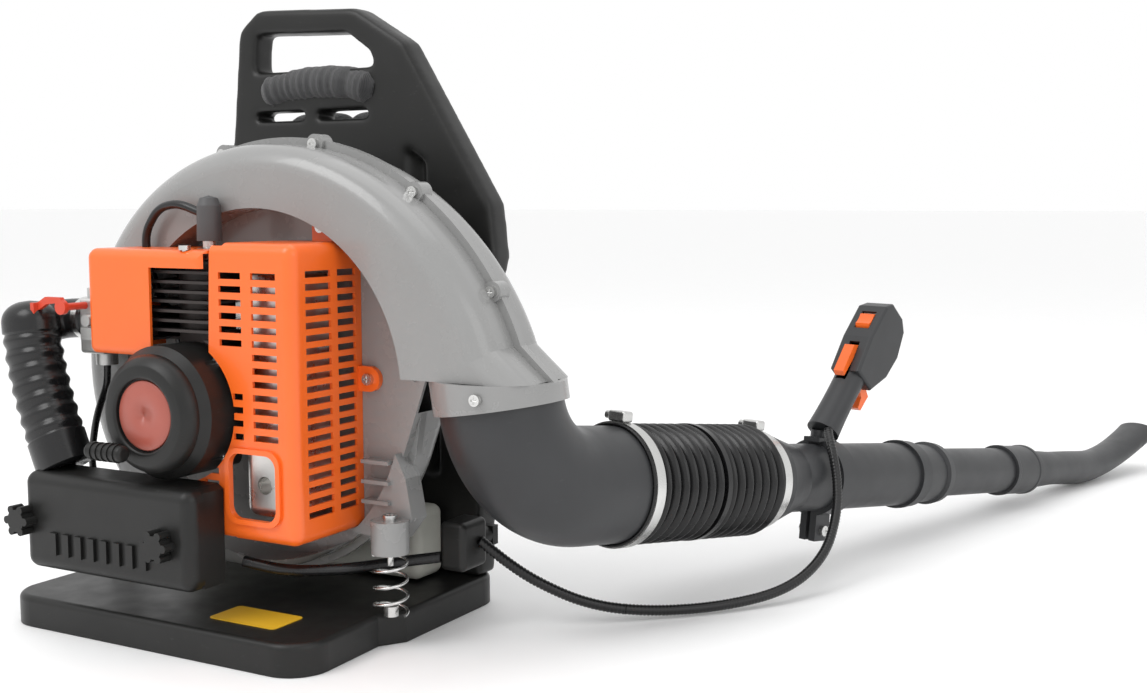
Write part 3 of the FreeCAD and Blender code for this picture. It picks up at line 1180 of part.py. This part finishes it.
def check():
    """Stops if any object failed or any piece is empty, broken or below the floor."""
    for item in doc.Objects:
        if "Invalid" in item.State or "Error" in item.State:
            raise RuntimeError("failed: %s %s" % (item.Label, item.State))
    bad = []
    for piece in pieces:
        shape = piece.Shape
        if shape.isNull() or not shape.isValid() or not shape.Solids:
            bad.append(piece.Label)
    if bad:
        raise RuntimeError("bad shapes: " + ", ".join(bad))


def main():
    make_base()
    make_back_frame()
    make_carrying()
    make_suspension()
    make_case()
    make_rotor()
    make_engine()
    make_intake()
    make_exhaust()
    make_cylinder_cover()
    make_starter()
    make_fuel()
    make_elbow()
    make_hose()
    make_pipes()
    make_grip()
    make_cables()
    seat_screws()
    doc.recompute()
    check()
    os.makedirs("parts", exist_ok=True)
    for piece in pieces:
        piece.Shape.exportStep("parts/%s.step" % piece.Label)
    print("%d pieces" % len(pieces))


main()
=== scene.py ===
# %% [markdown]
# A backpack leaf blower stands on its base, with its tube lying out to the right. The hard parts come
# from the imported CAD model. This lesson gives them their finishes, and builds by hand the parts that
# bend or are soft: the bellows hose, the cable, the rope, the back pad and the straps.

# %% Load the frame
import json
import math

import bmesh
import bpy
from mathutils import Matrix, Vector


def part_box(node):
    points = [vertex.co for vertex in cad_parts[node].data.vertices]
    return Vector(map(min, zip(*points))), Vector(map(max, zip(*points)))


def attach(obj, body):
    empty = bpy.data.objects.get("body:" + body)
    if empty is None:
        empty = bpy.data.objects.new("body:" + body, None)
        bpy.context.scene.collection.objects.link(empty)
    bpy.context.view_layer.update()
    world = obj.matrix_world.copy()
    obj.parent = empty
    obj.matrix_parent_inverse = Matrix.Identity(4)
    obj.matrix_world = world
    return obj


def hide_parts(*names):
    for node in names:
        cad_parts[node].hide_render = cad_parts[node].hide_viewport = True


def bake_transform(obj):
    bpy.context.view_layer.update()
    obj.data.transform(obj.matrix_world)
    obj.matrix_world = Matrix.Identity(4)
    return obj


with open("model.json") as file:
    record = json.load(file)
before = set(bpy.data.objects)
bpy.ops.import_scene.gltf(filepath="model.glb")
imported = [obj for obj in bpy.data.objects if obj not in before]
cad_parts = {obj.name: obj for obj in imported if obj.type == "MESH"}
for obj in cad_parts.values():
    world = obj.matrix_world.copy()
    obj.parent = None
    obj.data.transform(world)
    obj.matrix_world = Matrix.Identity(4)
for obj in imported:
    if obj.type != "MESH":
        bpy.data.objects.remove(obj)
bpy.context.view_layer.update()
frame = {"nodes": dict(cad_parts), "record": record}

# %% [markdown]
# The finishes come first. Every one is a Principled shader whose colour, gloss and fine surface come
# from noise in Object coordinates. That puts a grain of the right size on moulded plastic or cast
# metal, and it doesn't slide when a part moves.

# %% A helper for noise
def noise_of(nodes, links, scale, detail=3.0, stretch=(1, 1, 1)):
    place = nodes.new("ShaderNodeTexCoord")
    mapping = nodes.new("ShaderNodeMapping")
    mapping.inputs["Scale"].default_value = stretch
    links.new(place.outputs["Object"], mapping.inputs["Vector"])
    noise = nodes.new("ShaderNodeTexNoise")
    noise.inputs["Scale"].default_value = scale
    noise.inputs["Detail"].default_value = detail
    links.new(mapping.outputs["Vector"], noise.inputs["Vector"])
    return noise.outputs["Fac"]


# %% The general finish
def finish(name, colour, rough, metal=0.0, grain=900, relief=0.00006, mottle=0.12,
           spread=0.12, stretch=(1, 1, 1), coat=0.0, wear=0.0, shine=0.5):
    """A shader: base colour and its mottling, roughness and its spread, and a fine grain."""
    material = bpy.data.materials.new(name)
    material.use_nodes = True
    nodes, links = material.node_tree.nodes, material.node_tree.links
    shader = nodes["Principled BSDF"]
    shader.inputs["Metallic"].default_value = metal
    shader.inputs["Coat Weight"].default_value = coat
    shader.inputs["Specular IOR Level"].default_value = shine
    broad = noise_of(nodes, links, 14, 4)
    shade = nodes.new("ShaderNodeValToRGB")
    shade.color_ramp.elements[0].position = 0.3
    shade.color_ramp.elements[1].position = 0.72
    dark = [channel * (1 - mottle) for channel in colour]
    light = [min(1, channel * (1 + mottle) + 0.002) for channel in colour]
    shade.color_ramp.elements[0].color = (*dark, 1)
    shade.color_ramp.elements[1].color = (*light, 1)
    links.new(broad, shade.inputs["Fac"])
    tone = shade.outputs["Color"]
    if wear:
        scuff = noise_of(nodes, links, 120, 8, (1, 1, 2.5))
        edge = nodes.new("ShaderNodeMapRange")
        edge.inputs["From Min"].default_value = 0.66
        edge.inputs["From Max"].default_value = 0.78
        edge.inputs["To Max"].default_value = wear
        links.new(scuff, edge.inputs["Value"])
        mix = nodes.new("ShaderNodeMix")
        mix.data_type = "RGBA"
        links.new(edge.outputs["Result"], mix.inputs["Factor"])
        links.new(tone, mix.inputs["A"])
        mix.inputs["B"].default_value = (*[min(1, c * 1.6 + 0.05) for c in colour], 1)
        tone = mix.outputs["Result"]
    links.new(tone, shader.inputs["Base Color"])
    gloss = nodes.new("ShaderNodeMapRange")
    gloss.inputs["To Min"].default_value = max(0.03, rough - spread)
    gloss.inputs["To Max"].default_value = min(1, rough + spread)
    links.new(noise_of(nodes, links, 45, 5), gloss.inputs["Value"])
    links.new(gloss.outputs["Result"], shader.inputs["Roughness"])
    bump = nodes.new("ShaderNodeBump")
    bump.inputs["Strength"].default_value = 0.6
    bump.inputs["Distance"].default_value = relief
    links.new(noise_of(nodes, links, grain, 2, stretch), bump.inputs["Height"])
    links.new(bump.outputs["Normal"], shader.inputs["Normal"])
    return material


# %% [markdown]
# Cloth needs more than noise: two crossed wave textures make the over and under of woven webbing and
# of the pad's mesh cloth, and a little sheen catches the light along its edges.

# %% A woven finish
def woven(name, colour, threads, relief):
    material = finish(name, colour, 0.85, mottle=0.25, coat=0.0)
    nodes, links = material.node_tree.nodes, material.node_tree.links
    shader = nodes["Principled BSDF"]
    shader.inputs["Sheen Weight"].default_value = 0.35
    place = nodes.new("ShaderNodeTexCoord")
    crossed = nodes.new("ShaderNodeMath")
    crossed.operation = "MULTIPLY"
    for count, way in enumerate(("X", "Z")):
        wave = nodes.new("ShaderNodeTexWave")
        wave.bands_direction = way
        wave.inputs["Scale"].default_value = threads
        links.new(place.outputs["Object"], wave.inputs["Vector"])
        links.new(wave.outputs["Fac"], crossed.inputs[count])
    bump = nodes.new("ShaderNodeBump")
    bump.inputs["Distance"].default_value = relief
    links.new(crossed.outputs["Value"], bump.inputs["Height"])
    links.new(bump.outputs["Normal"], shader.inputs["Normal"])
    return material


# %% The finishes of this blower
finishes = {
    "black_plastic": finish("satin black plastic", (0.010, 0.010, 0.0095), 0.4, wear=0.22, shine=0.34),
    "grey_plastic": finish("light grey moulding", (0.25, 0.25, 0.247), 0.27, mottle=0.03,
                           relief=0.00002, coat=0.25, spread=0.03),
    "orange_plastic": finish("orange moulding", (0.86, 0.135, 0.012), 0.34, mottle=0.03,
                             relief=0.00003, coat=0.2),
    "steel": finish("bright zinc steel", (0.62, 0.62, 0.61), 0.27, 1.0, stretch=(1, 1, 9)),
    "alloy": finish("die-cast alloy", (0.5, 0.5, 0.49), 0.42, 0.9, grain=700, relief=0.0002,
                    mottle=0.2),
    "dark_metal": finish("heat-black metal", (0.05, 0.042, 0.04), 0.5, 0.6, relief=0.0002,
                         mottle=0.3),
    "rubber": finish("glossy black rubber", (0.007, 0.007, 0.0075), 0.27, mottle=0.2, shine=0.42),
    "dark_grey_plastic": finish("dark grey pipe plastic", (0.03, 0.031, 0.033), 0.4,
                                mottle=0.08, wear=0.15, shine=0.4),
    "webbing": woven("woven webbing", (0.02, 0.02, 0.022), 520, 0.0005),
    "foam_cloth": woven("mesh cloth on foam", (0.028, 0.028, 0.03), 330, 0.0006),
    "filter_foam": finish("filter foam", (0.24, 0.24, 0.19), 0.9, grain=1400, relief=0.001),
    "red_plastic": finish("red lever plastic", (0.55, 0.05, 0.02), 0.4),
    "tank_plastic": finish("milky tank plastic", (0.5, 0.5, 0.45), 0.45),
    "rope": woven("braided cord", (0.03, 0.03, 0.03), 900, 0.0004),
    "badge": finish("brown red badge", (0.36, 0.085, 0.06), 0.4, mottle=0.06, coat=0.1),
    "white_plate": finish("white plate", (0.78, 0.78, 0.76), 0.35, mottle=0.03),
    "label": finish("yellow label", (0.78, 0.46, 0.02), 0.4, mottle=0.05),
    "ceramic": finish("dark grey boot", (0.06, 0.06, 0.062), 0.5, mottle=0.1),
    "silver": finish("muffler sheet", (0.66, 0.65, 0.63), 0.3, 0.95, relief=0.0001, mottle=0.15),
}
print("finishes:", len(finishes))

# %% Finishes on the CAD nodes
special = {"muffler": "silver", "spark_plug_cap": "ceramic"}
for part in frame["record"]["subparts"]:
    node = part["node"]
    chosen = finishes[special.get(node, part["material_slot"])]
    mesh = frame["nodes"][node].data
    mesh.materials.clear()
    mesh.materials.append(chosen)

# %% [markdown]
# Every hand-made piece is a bmesh that becomes a mesh object here, with the name, the finish and the
# body it moves with. Its place is in its points, so the object itself sits at the origin.


def make_piece(name, shape, slot, body=None, smooth=True, replaces=()):
    mesh = bpy.data.meshes.new(name)
    bmesh.ops.recalc_face_normals(shape, faces=shape.faces)
    shape.to_mesh(mesh)
    shape.free()
    mesh.materials.append(finishes[slot])
    if smooth:
        mesh.shade_smooth()
    piece = bpy.data.objects.new(name, mesh)
    bpy.context.scene.collection.objects.link(piece)
    if body:
        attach(piece, body)
    if replaces:
        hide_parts(*replaces)
    print(name, "faces", len(mesh.polygons))
    return piece

# %% [markdown]
# The tube leaves the elbow turned 17 degrees outwards and 6.65 degrees down. One matrix carries
# pieces made round a straight upright axis into that place, and another carries the grip's pieces.

# %% Places of the tube and the grip
YAW, DROOP = math.radians(17), math.radians(6.65)
upright = Matrix(((-1, 0, 0), (0, 0, 1), (0, 1, 0)))
tube_turn = Matrix.Rotation(-YAW, 3, "Z") @ Matrix.Rotation(-DROOP, 3, "X") @ upright
tube_way = tube_turn @ Vector((0, 0, 1))
tube_start = Vector((0.258, 0, 0.130)) + 0.105 * tube_way
tube_place = Matrix.Translation(tube_start) @ tube_turn.to_4x4()
LEAN = math.radians(36)
grip_turn = Matrix(((-1, 0, 0), (0, -math.sin(LEAN), math.cos(LEAN)),
                    (0, math.cos(LEAN), math.sin(LEAN))))
grip_place = tube_place @ Matrix.Translation((0, 0.044, 0.291)) @ grip_turn.to_4x4()
print("tube starts at", [round(v, 3) for v in tube_start])

# %% [markdown]
# The hose is a bellows: deep round ribs that let it bend, between two plain cuffs. Its section is
# drawn as a closed loop and spun once round the axis, which gives it a real wall.

# %% A spun ring
def spun(section, steps=72):
    """A closed section of (radius, height) points, turned once round the upright axis."""
    shape = bmesh.new()
    points = [shape.verts.new((radius, 0, height)) for radius, height in section]
    edges = [shape.edges.new((points[k - 1], points[k])) for k in range(len(points))]
    bmesh.ops.spin(shape, geom=points + edges, axis=(0, 0, 1), cent=(0, 0, 0),
                   angle=math.tau, steps=steps, use_merge=True)
    bmesh.ops.remove_doubles(shape, verts=shape.verts, dist=1e-7)
    return shape


# %% The hose's two halves
CREST, VALLEY, WALL = 0.0502, 0.0432, 0.0022


def bellows(low, high, ribs):
    """Points along the ribs: a full crest and a narrower valley."""
    points = []
    per_rib = 14
    for k in range(ribs * per_rib + 1):
        share = 0.5 - 0.5 * math.cos(math.tau * k / per_rib)
        points.append((VALLEY + (CREST - VALLEY) * share ** 0.6,
                       low + (high - low) * k / (ribs * per_rib)))
    return points


def hollow(outside):
    return outside + [(radius - WALL, height) for radius, height in reversed(outside)]


near_line = [(0.0505, 0.0), (0.0505, 0.0135)] + bellows(0.0145, 0.092, 7)
far_line = bellows(0.098, 0.1755, 7) + [(0.044, 0.1765), (0.044, 0.190)]
hose_near = spun(hollow(near_line))
hose_near.transform(tube_place)
hose_far = spun(hollow(far_line))
hose_far.transform(tube_place)
near_piece = make_piece("hose_near_bellows", hose_near, "rubber", replaces=["hose_inner_half"])
far_piece = make_piece("hose_far_bellows", hose_far, "rubber", replaces=["hose_outer_half"])


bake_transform(near_piece)
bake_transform(far_piece)

# %% [markdown]
# The throttle cable runs in a thin corrugated loom. It leaves the block by the base, hangs down to
# the floor, and climbs into the grip's foot. One smooth curve gives its line, and ring after ring is
# bridged along it. It is cut in two where the hose's joints need it.

# %% A smooth line through the cable's points
def smooth_line(name, points):
    curve = bpy.data.curves.new(name, "CURVE")
    curve.dimensions = "3D"
    spline = curve.splines.new("NURBS")
    spline.points.add(len(points) - 1)
    for spot, point in zip(spline.points, points):
        spot.co = (*point, 1)
    spline.order_u = 3
    spline.use_endpoint_u = True
    spline.resolution_u = 24
    holder = bpy.data.objects.new(name, curve)
    bpy.context.scene.collection.objects.link(holder)
    bpy.context.view_layer.update()
    line = holder.to_mesh()
    found = [v.co.copy() for v in line.vertices]
    holder.to_mesh_clear()
    bpy.data.objects.remove(holder)
    bpy.data.curves.remove(curve)
    return found


def evenly(line, step):
    """The same line with its points a fixed step apart."""
    result = [line[0].copy()]
    want = step
    gone = 0.0
    for start, end in zip(line, line[1:]):
        run = (end - start).length
        while run > 0 and gone + run >= want:
            result.append(start.lerp(end, (want - gone) / run))
            want += step
        gone += run
    if (result[-1] - line[-1]).length > step / 3:
        result.append(line[-1].copy())
    return result


# %% Rings bridged along a line
def swept(line, ring_size, sides=14, across=None, squareness=1.0):
    """ring_size(k) gives the half width and half height of the section at point k."""
    shape = bmesh.new()
    rings = []
    heading = (line[1] - line[0]).normalized()
    side = across or heading.orthogonal().normalized()
    for k, point in enumerate(line):
        ahead = (line[min(k + 1, len(line) - 1)] - line[max(k - 1, 0)]).normalized()
        side = (side - ahead * side.dot(ahead)).normalized()
        rise = ahead.cross(side)
        wide, high = ring_size(k)
        made = bmesh.ops.create_circle(shape, segments=sides, radius=1)
        for vert in made["verts"]:
            x, y = (math.copysign(abs(v) ** squareness, v) for v in vert.co.xy)
            vert.co = point + side * (wide * x) + rise * (high * y)
        rings.append(list({edge for vert in made["verts"] for edge in vert.link_edges}))
    for first, second in zip(rings, rings[1:]):
        bmesh.ops.bridge_loops(shape, edges=first + second)
    for end in (rings[0], rings[-1]):
        bmesh.ops.contextual_create(shape, geom=end)
    return shape


# %% The cable
CABLE_RADIUS = 0.0045
cable_points = [(0.2021, 0.0393, 0.0747), (0.216, 0.048, 0.060), (0.240, 0.066, 0.038),
                (0.275, 0.095, 0.016), (0.315, 0.132, 0.007), (0.360, 0.180, 0.006),
                (0.396, 0.232, 0.012), (0.412, 0.280, 0.032), (0.411, 0.316, 0.062),
                (0.405, 0.336, 0.089)]
cable_points += [tuple(grip_place @ Vector(point)) for point in
                 ((0.030, -0.012, -0.026), (0.0165, -0.012, -0.009), (0.0095, -0.005, -0.0002))]
cable_line = evenly(smooth_line("cable_line", cable_points), 0.0011)
parting = next(k for k, point in enumerate(cable_line) if point.x > 0.295)


def loom_size(k):
    radius = CABLE_RADIUS - (0.0006 if k % 3 == 0 else 0.0)
    return radius, radius


def run_length(line):
    return sum((b - a).length for a, b in zip(line, line[1:]))


for name, line, bodies, node in (
        ("throttle_loom_lower", cable_line[:parting + 1], ("root", "hose_middle"),
         "throttle_cable_lower"),
        ("throttle_loom_upper", cable_line[parting:], ("hose_middle", "tube"),
         "throttle_cable_upper")):
    loom = make_piece(name, swept(line, loom_size), "rubber", replaces=[node])
    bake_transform(loom)
    print(name, "length", round(run_length(line), 3))

# %% [markdown]
# The back pad is foam under mesh cloth. A box is cut into a fine grid, its sides are rounded in, its
# face is crowned, and sewn channels are pressed across it. The straps are long pads on a curved line.

# %% The back pad
def pressed(point, low, high):
    """Pulls one point of the pad's grid to its crowned and quilted place."""
    u = (point.x - low.x) / (high.x - low.x) * 2 - 1
    w = (point.z - low.z) / (high.z - low.z) * 2 - 1
    edge = max(abs(u) ** 5, abs(w) ** 7)
    crown = 1 - 0.55 * edge
    for channel in (-0.5, 0.0, 0.5):
        crown -= 0.28 * math.exp(-((w - channel) / 0.03) ** 2)
    middle = low.y
    point.y = middle + (point.y - middle) * crown
    point.x -= 0.006 * u * w * w
    point.z -= 0.005 * w * u * u


pad_low, pad_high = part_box("back_pad")
pad_low, pad_high = Vector(pad_low), Vector(pad_high)
pad = bmesh.new()
bmesh.ops.create_cube(pad, size=1)
bmesh.ops.scale(pad, vec=pad_high - pad_low, verts=pad.verts)
bmesh.ops.translate(pad, vec=(pad_high + pad_low) / 2, verts=pad.verts)
long_edges = [e for e in pad.edges if abs(e.verts[0].co.y - e.verts[1].co.y) < 1e-6]
bmesh.ops.subdivide_edges(pad, edges=long_edges, cuts=70, use_grid_fill=True)
bmesh.ops.subdivide_edges(pad, edges=[e for e in pad.edges
                                      if abs(e.verts[0].co.y - e.verts[1].co.y) > 0.01], cuts=5)
for vert in pad.verts:
    pressed(vert.co, pad_low, pad_high)
for _ in range(3):
    bmesh.ops.smooth_vert(pad, verts=pad.verts, factor=0.5, use_axis_x=True, use_axis_y=True,
                          use_axis_z=True)
pad_piece = make_piece("quilted_back_pad", pad, "foam_cloth", "root", replaces=["back_pad"])

# %% The shoulder straps
PAD_BACK = pad_high.y
for side, middle in (("left", -0.045), ("right", 0.025)):
    arch = [(0.1305, 0.404), (0.1445, 0.430), (PAD_BACK + 0.0405, 0.420),
            (PAD_BACK + 0.0625, 0.330), (PAD_BACK + 0.0565, 0.210), (PAD_BACK + 0.0405, 0.150)]
    line = evenly(smooth_line("strap_line", [(middle, y, z) for y, z in arch]), 0.004)
    count = len(line)

    def strap_size(k, count=count):
        full = 1 - 0.35 * max(0, 1 - min(k, count - 1 - k) / 6) ** 2
        ripple = 1 - 0.10 * (k % 12 == 0)
        return 0.0262 * full, 0.0045 * ripple * full

    shape = swept(line, strap_size, 20, Vector((1, 0, 0)), 0.62)
    strap = make_piece("shoulder_strap_" + side, shape, "webbing", "root")
    low_end = Vector((middle, PAD_BACK + 0.0405, 0.150))
    anchor = Vector((middle, 0.1285, 0.058))
    TAIL_STEPS = 40
    tail_line = [low_end.lerp(anchor, k / TAIL_STEPS) for k in range(TAIL_STEPS + 1)]
    tail = make_piece("lower_webbing_" + side,
                      swept(tail_line, lambda k: (0.0125, 0.0009), 12, Vector((1, 0, 0)), 0.5),
                      "webbing", "root")
    loop = bmesh.new()
    bmesh.ops.create_cube(loop, size=1)
    bmesh.ops.scale(loop, vec=(0.036, 0.009, 0.014), verts=loop.verts)
    bmesh.ops.translate(loop, vec=(middle, 0.1305, 0.055), verts=loop.verts)
    bmesh.ops.bevel(loop, geom=loop.edges[:], offset=0.002, segments=3, profile=0.5,
                    affect="EDGES", material=-1)
    make_piece("strap_anchor_" + side, loop, "black_plastic", "root")
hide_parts("harness")

# %% [markdown]
# The back frame is blow-moulded, so no edge on it is sharp. Its CAD mesh is copied, remeshed into
# an even skin and relaxed, which rounds every rim and pocket by a few millimetres. A soft sleeve is
# wrapped over its crossbar, where the hand and the straps meet it.

# %% The softened back frame
soft = bmesh.new()
soft.from_mesh(frame["nodes"]["back_frame"].data)
bmesh.ops.remove_doubles(soft, verts=soft.verts, dist=0.00002)
frame_copy = make_piece("moulded_back_frame", soft, "black_plastic")
remesh = frame_copy.modifiers.new("skin", "REMESH")
remesh.mode = "VOXEL"
remesh.voxel_size = 0.0026
remesh.use_smooth_shade = True
relax = frame_copy.modifiers.new("relax", "SMOOTH")
relax.factor = 0.6
relax.iterations = 14
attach(frame_copy, "root")
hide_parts("back_frame")

# %% The sleeve on the crossbar
sleeve_line = [Vector((-0.064 + 0.124 * k / 60, 0.110, 0.452 - 0.008 * abs(k / 30 - 1) ** 2))
               for k in range(61)]


def sleeve_size(k):
    end = min(1.0, 0.72 + min(k, 60 - k) / 14)
    strap = 0.93 if 10 < k < 16 or 44 < k < 50 else 1.0
    wave = 1 + 0.025 * math.sin(k * 1.7) + 0.02 * math.sin(k * 0.6)
    return 0.0225 * end * strap * wave, 0.0155 * end * strap * wave


sleeve = make_piece("crossbar_sleeve", swept(sleeve_line, sleeve_size, 28, Vector((0, 1, 0)), 0.85),
                    "foam_cloth", "root")

# %% [markdown]
# Small trim gives the machine its face: the plain badge in the starter's ring, a yellow label on the
# base, and the white plate under the stop rocker. Lettering is left out.

# %% A rounded plate
def plate(size, corner, centre, turn=None):
    shape = bmesh.new()
    bmesh.ops.create_cube(shape, size=1)
    bmesh.ops.scale(shape, vec=size, verts=shape.verts)
    thin = min(range(3), key=lambda k: size[k])
    upright_edges = [e for e in shape.edges
                     if abs(e.verts[0].co[thin] - e.verts[1].co[thin]) > 1e-6]
    bmesh.ops.bevel(shape, geom=upright_edges, offset=corner, segments=6, profile=0.5,
                    affect="EDGES", material=-1)
    bmesh.ops.translate(shape, vec=centre, verts=shape.verts)
    if turn:
        shape.transform(turn)
    return shape


# %% Badge, label and switch plate
starter_face = Matrix.Translation((0.010, -0.1300, 0.185)) @ Matrix.Rotation(math.pi / 2, 4, "X")
badge = spun([(0.0001, 0.0001), (0.0001, 0.0014), (0.016, 0.0014), (0.0262, 0.0011),
              (0.0275, 0.0001)], 64)
badge.transform(starter_face)
make_piece("starter_badge", badge, "badge", "root")
ring = spun([(0.0285, -0.002), (0.0285, 0.0026), (0.0305, 0.0036), (0.0385, 0.0030),
             (0.0440, -0.0012), (0.0462, -0.0060), (0.0462, -0.0110), (0.0430, -0.0110)], 96)
ring.transform(starter_face)
ring_piece = make_piece("starter_ring", ring, "black_plastic", "root")
ring_bevel = ring_piece.modifiers.new("bevel", "BEVEL")
ring_bevel.width = 0.0007
ring_bevel.segments = 2
ring_bevel.limit_method = "ANGLE"
make_piece("base_label", plate((0.066, 0.036, 0.0006), 0.004, (0.076, -0.086, 0.0254)), "label",
           "root", smooth=False)
make_piece("switch_plate", plate((0.019, 0.0008, 0.030), 0.003, (0, -0.0153, 0.1225), grip_place),
           "white_plate", "tube", smooth=False)

# %% [markdown]
# The starter's rope stretches between the housing and its handle.

# %% The starter's rope
rope_low, rope_high = (Vector(v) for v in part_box("starter_rope"))
rope_mid = (rope_low + rope_high) / 2
rope_line = [Vector((rope_mid.x, rope_high.y + (rope_low.y - rope_high.y) * k / 12, rope_mid.z))
             for k in range(13)]
rope = make_piece("starter_cord_stretch", swept(rope_line, lambda k: (0.0018, 0.0018), 10), "rope",
                  replaces=["starter_rope"])
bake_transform(rope)

# %% [markdown]
# The intake duct is soft rubber: a wide oval riser with folds along it and a domed top, and a short
# branch into the carburettor. Two swept tubes make it, and they stand for the plain CAD duct.

# %% The intake duct
riser_points = [(-0.106, -0.106, 0.1312), (-0.116, -0.105, 0.150), (-0.137, -0.102, 0.195),
                (-0.148, -0.100, 0.235), (-0.150, -0.099, 0.2655)]
riser_line = evenly(smooth_line("riser_line", riser_points), 0.001)
last = len(riser_line) - 1


def riser_size(k):
    dome = min(1.0, (last - k) / 19)
    dome = math.sqrt(max(0.0004, 1 - (1 - dome) ** 2.4))
    fold = 0.0019 * (0.5 - 0.5 * math.cos(math.tau * k / 13)) if 26 < k < last - 26 else 0.0019
    return (0.0225 + fold) * dome, (0.0190 + fold) * dome


riser = swept(riser_line, riser_size, 40, Vector((1, 0, 0)), 0.9)
make_piece("intake_riser", riser, "rubber", "root", replaces=["intake_duct"])
branch_points = [(-0.150, -0.098, 0.243), (-0.145, -0.078, 0.248), (-0.130, -0.066, 0.250),
                 (-0.1121, -0.066, 0.250)]
branch_line = evenly(smooth_line("branch_line", branch_points), 0.001)
branch_end = len(branch_line) - 1


def branch_size(k):
    cuff = 0.0012 if branch_end - 9 < k < branch_end - 2 else 0.0
    return 0.0165 + cuff, 0.0165 + cuff


branch = swept(branch_line, branch_size, 40)
make_piece("intake_branch", branch, "rubber", "root")
clip = spun([(0.0166, 0.0), (0.0180, 0.0), (0.0180, 0.006), (0.0166, 0.006)], 56)
clip.transform(Matrix.Translation((-0.1205, -0.066, 0.250)) @ Matrix.Rotation(math.pi / 2, 4, "Y"))
make_piece("intake_clip", clip, "steel", "root", smooth=False)

# %% [markdown]
# A pale floor under a white sky gives the even studio look, and three soft area lights add shape. The
# colours are shown with the plain Standard transform, which keeps the orange strong and black deep.
# The camera stands low at the front right corner.

# %% Floor and lights
floor = bmesh.new()
bmesh.ops.create_grid(floor, x_segments=1, y_segments=1, size=60)
floor_mesh = bpy.data.meshes.new("floor")
floor.to_mesh(floor_mesh)
floor.free()
floor_finish = finish("pale floor", (0.95, 0.95, 0.95), 0.6, relief=0.00001, mottle=0.005)
floor_mesh.materials.append(floor_finish)
floor_piece = bpy.data.objects.new("floor", floor_mesh)
floor_piece.location.z = -0.0004
bpy.context.scene.collection.objects.link(floor_piece)

world = bpy.data.worlds.new("studio")
world.use_nodes = True
world.node_tree.nodes["Background"].inputs["Color"].default_value = (1, 1, 1, 1)
world.node_tree.nodes["Background"].inputs["Strength"].default_value = 1.0
bpy.context.scene.world = world
bpy.context.scene.view_settings.view_transform = "Standard"


def soft_light(name, place, aim, size, power):
    lamp = bpy.data.lights.new(name, "AREA")
    lamp.shape = "SQUARE"
    lamp.size = size
    lamp.energy = power
    holder = bpy.data.objects.new(name, lamp)
    holder.location = place
    holder.rotation_euler = (Vector(aim) - Vector(place)).to_track_quat("-Z", "Y").to_euler()
    bpy.context.scene.collection.objects.link(holder)


soft_light("key", (-0.6, -1.4, 1.9), (0.1, 0.1, 0.2), 1.2, 20)
soft_light("fill", (2.2, -0.6, 1.2), (0.2, 0.2, 0.2), 1.5, 7)
soft_light("top", (0.2, 0.4, 2.4), (0.2, 0.3, 0.1), 1.8, 10)

# %% Camera
CAMERA_PLACE = (0.798, -0.891, 0.346)
CAMERA_TURN = 28.70
CAMERA_DOWN = 5.90
camera_data = bpy.data.cameras.new("view")
camera_data.lens = 43.6
camera_data.sensor_width = 36
camera = bpy.data.objects.new("view", camera_data)
camera.location = CAMERA_PLACE
camera.rotation_euler = (math.radians(90 - CAMERA_DOWN), 0, math.radians(CAMERA_TURN))
bpy.context.scene.collection.objects.link(camera)
bpy.context.scene.camera = camera
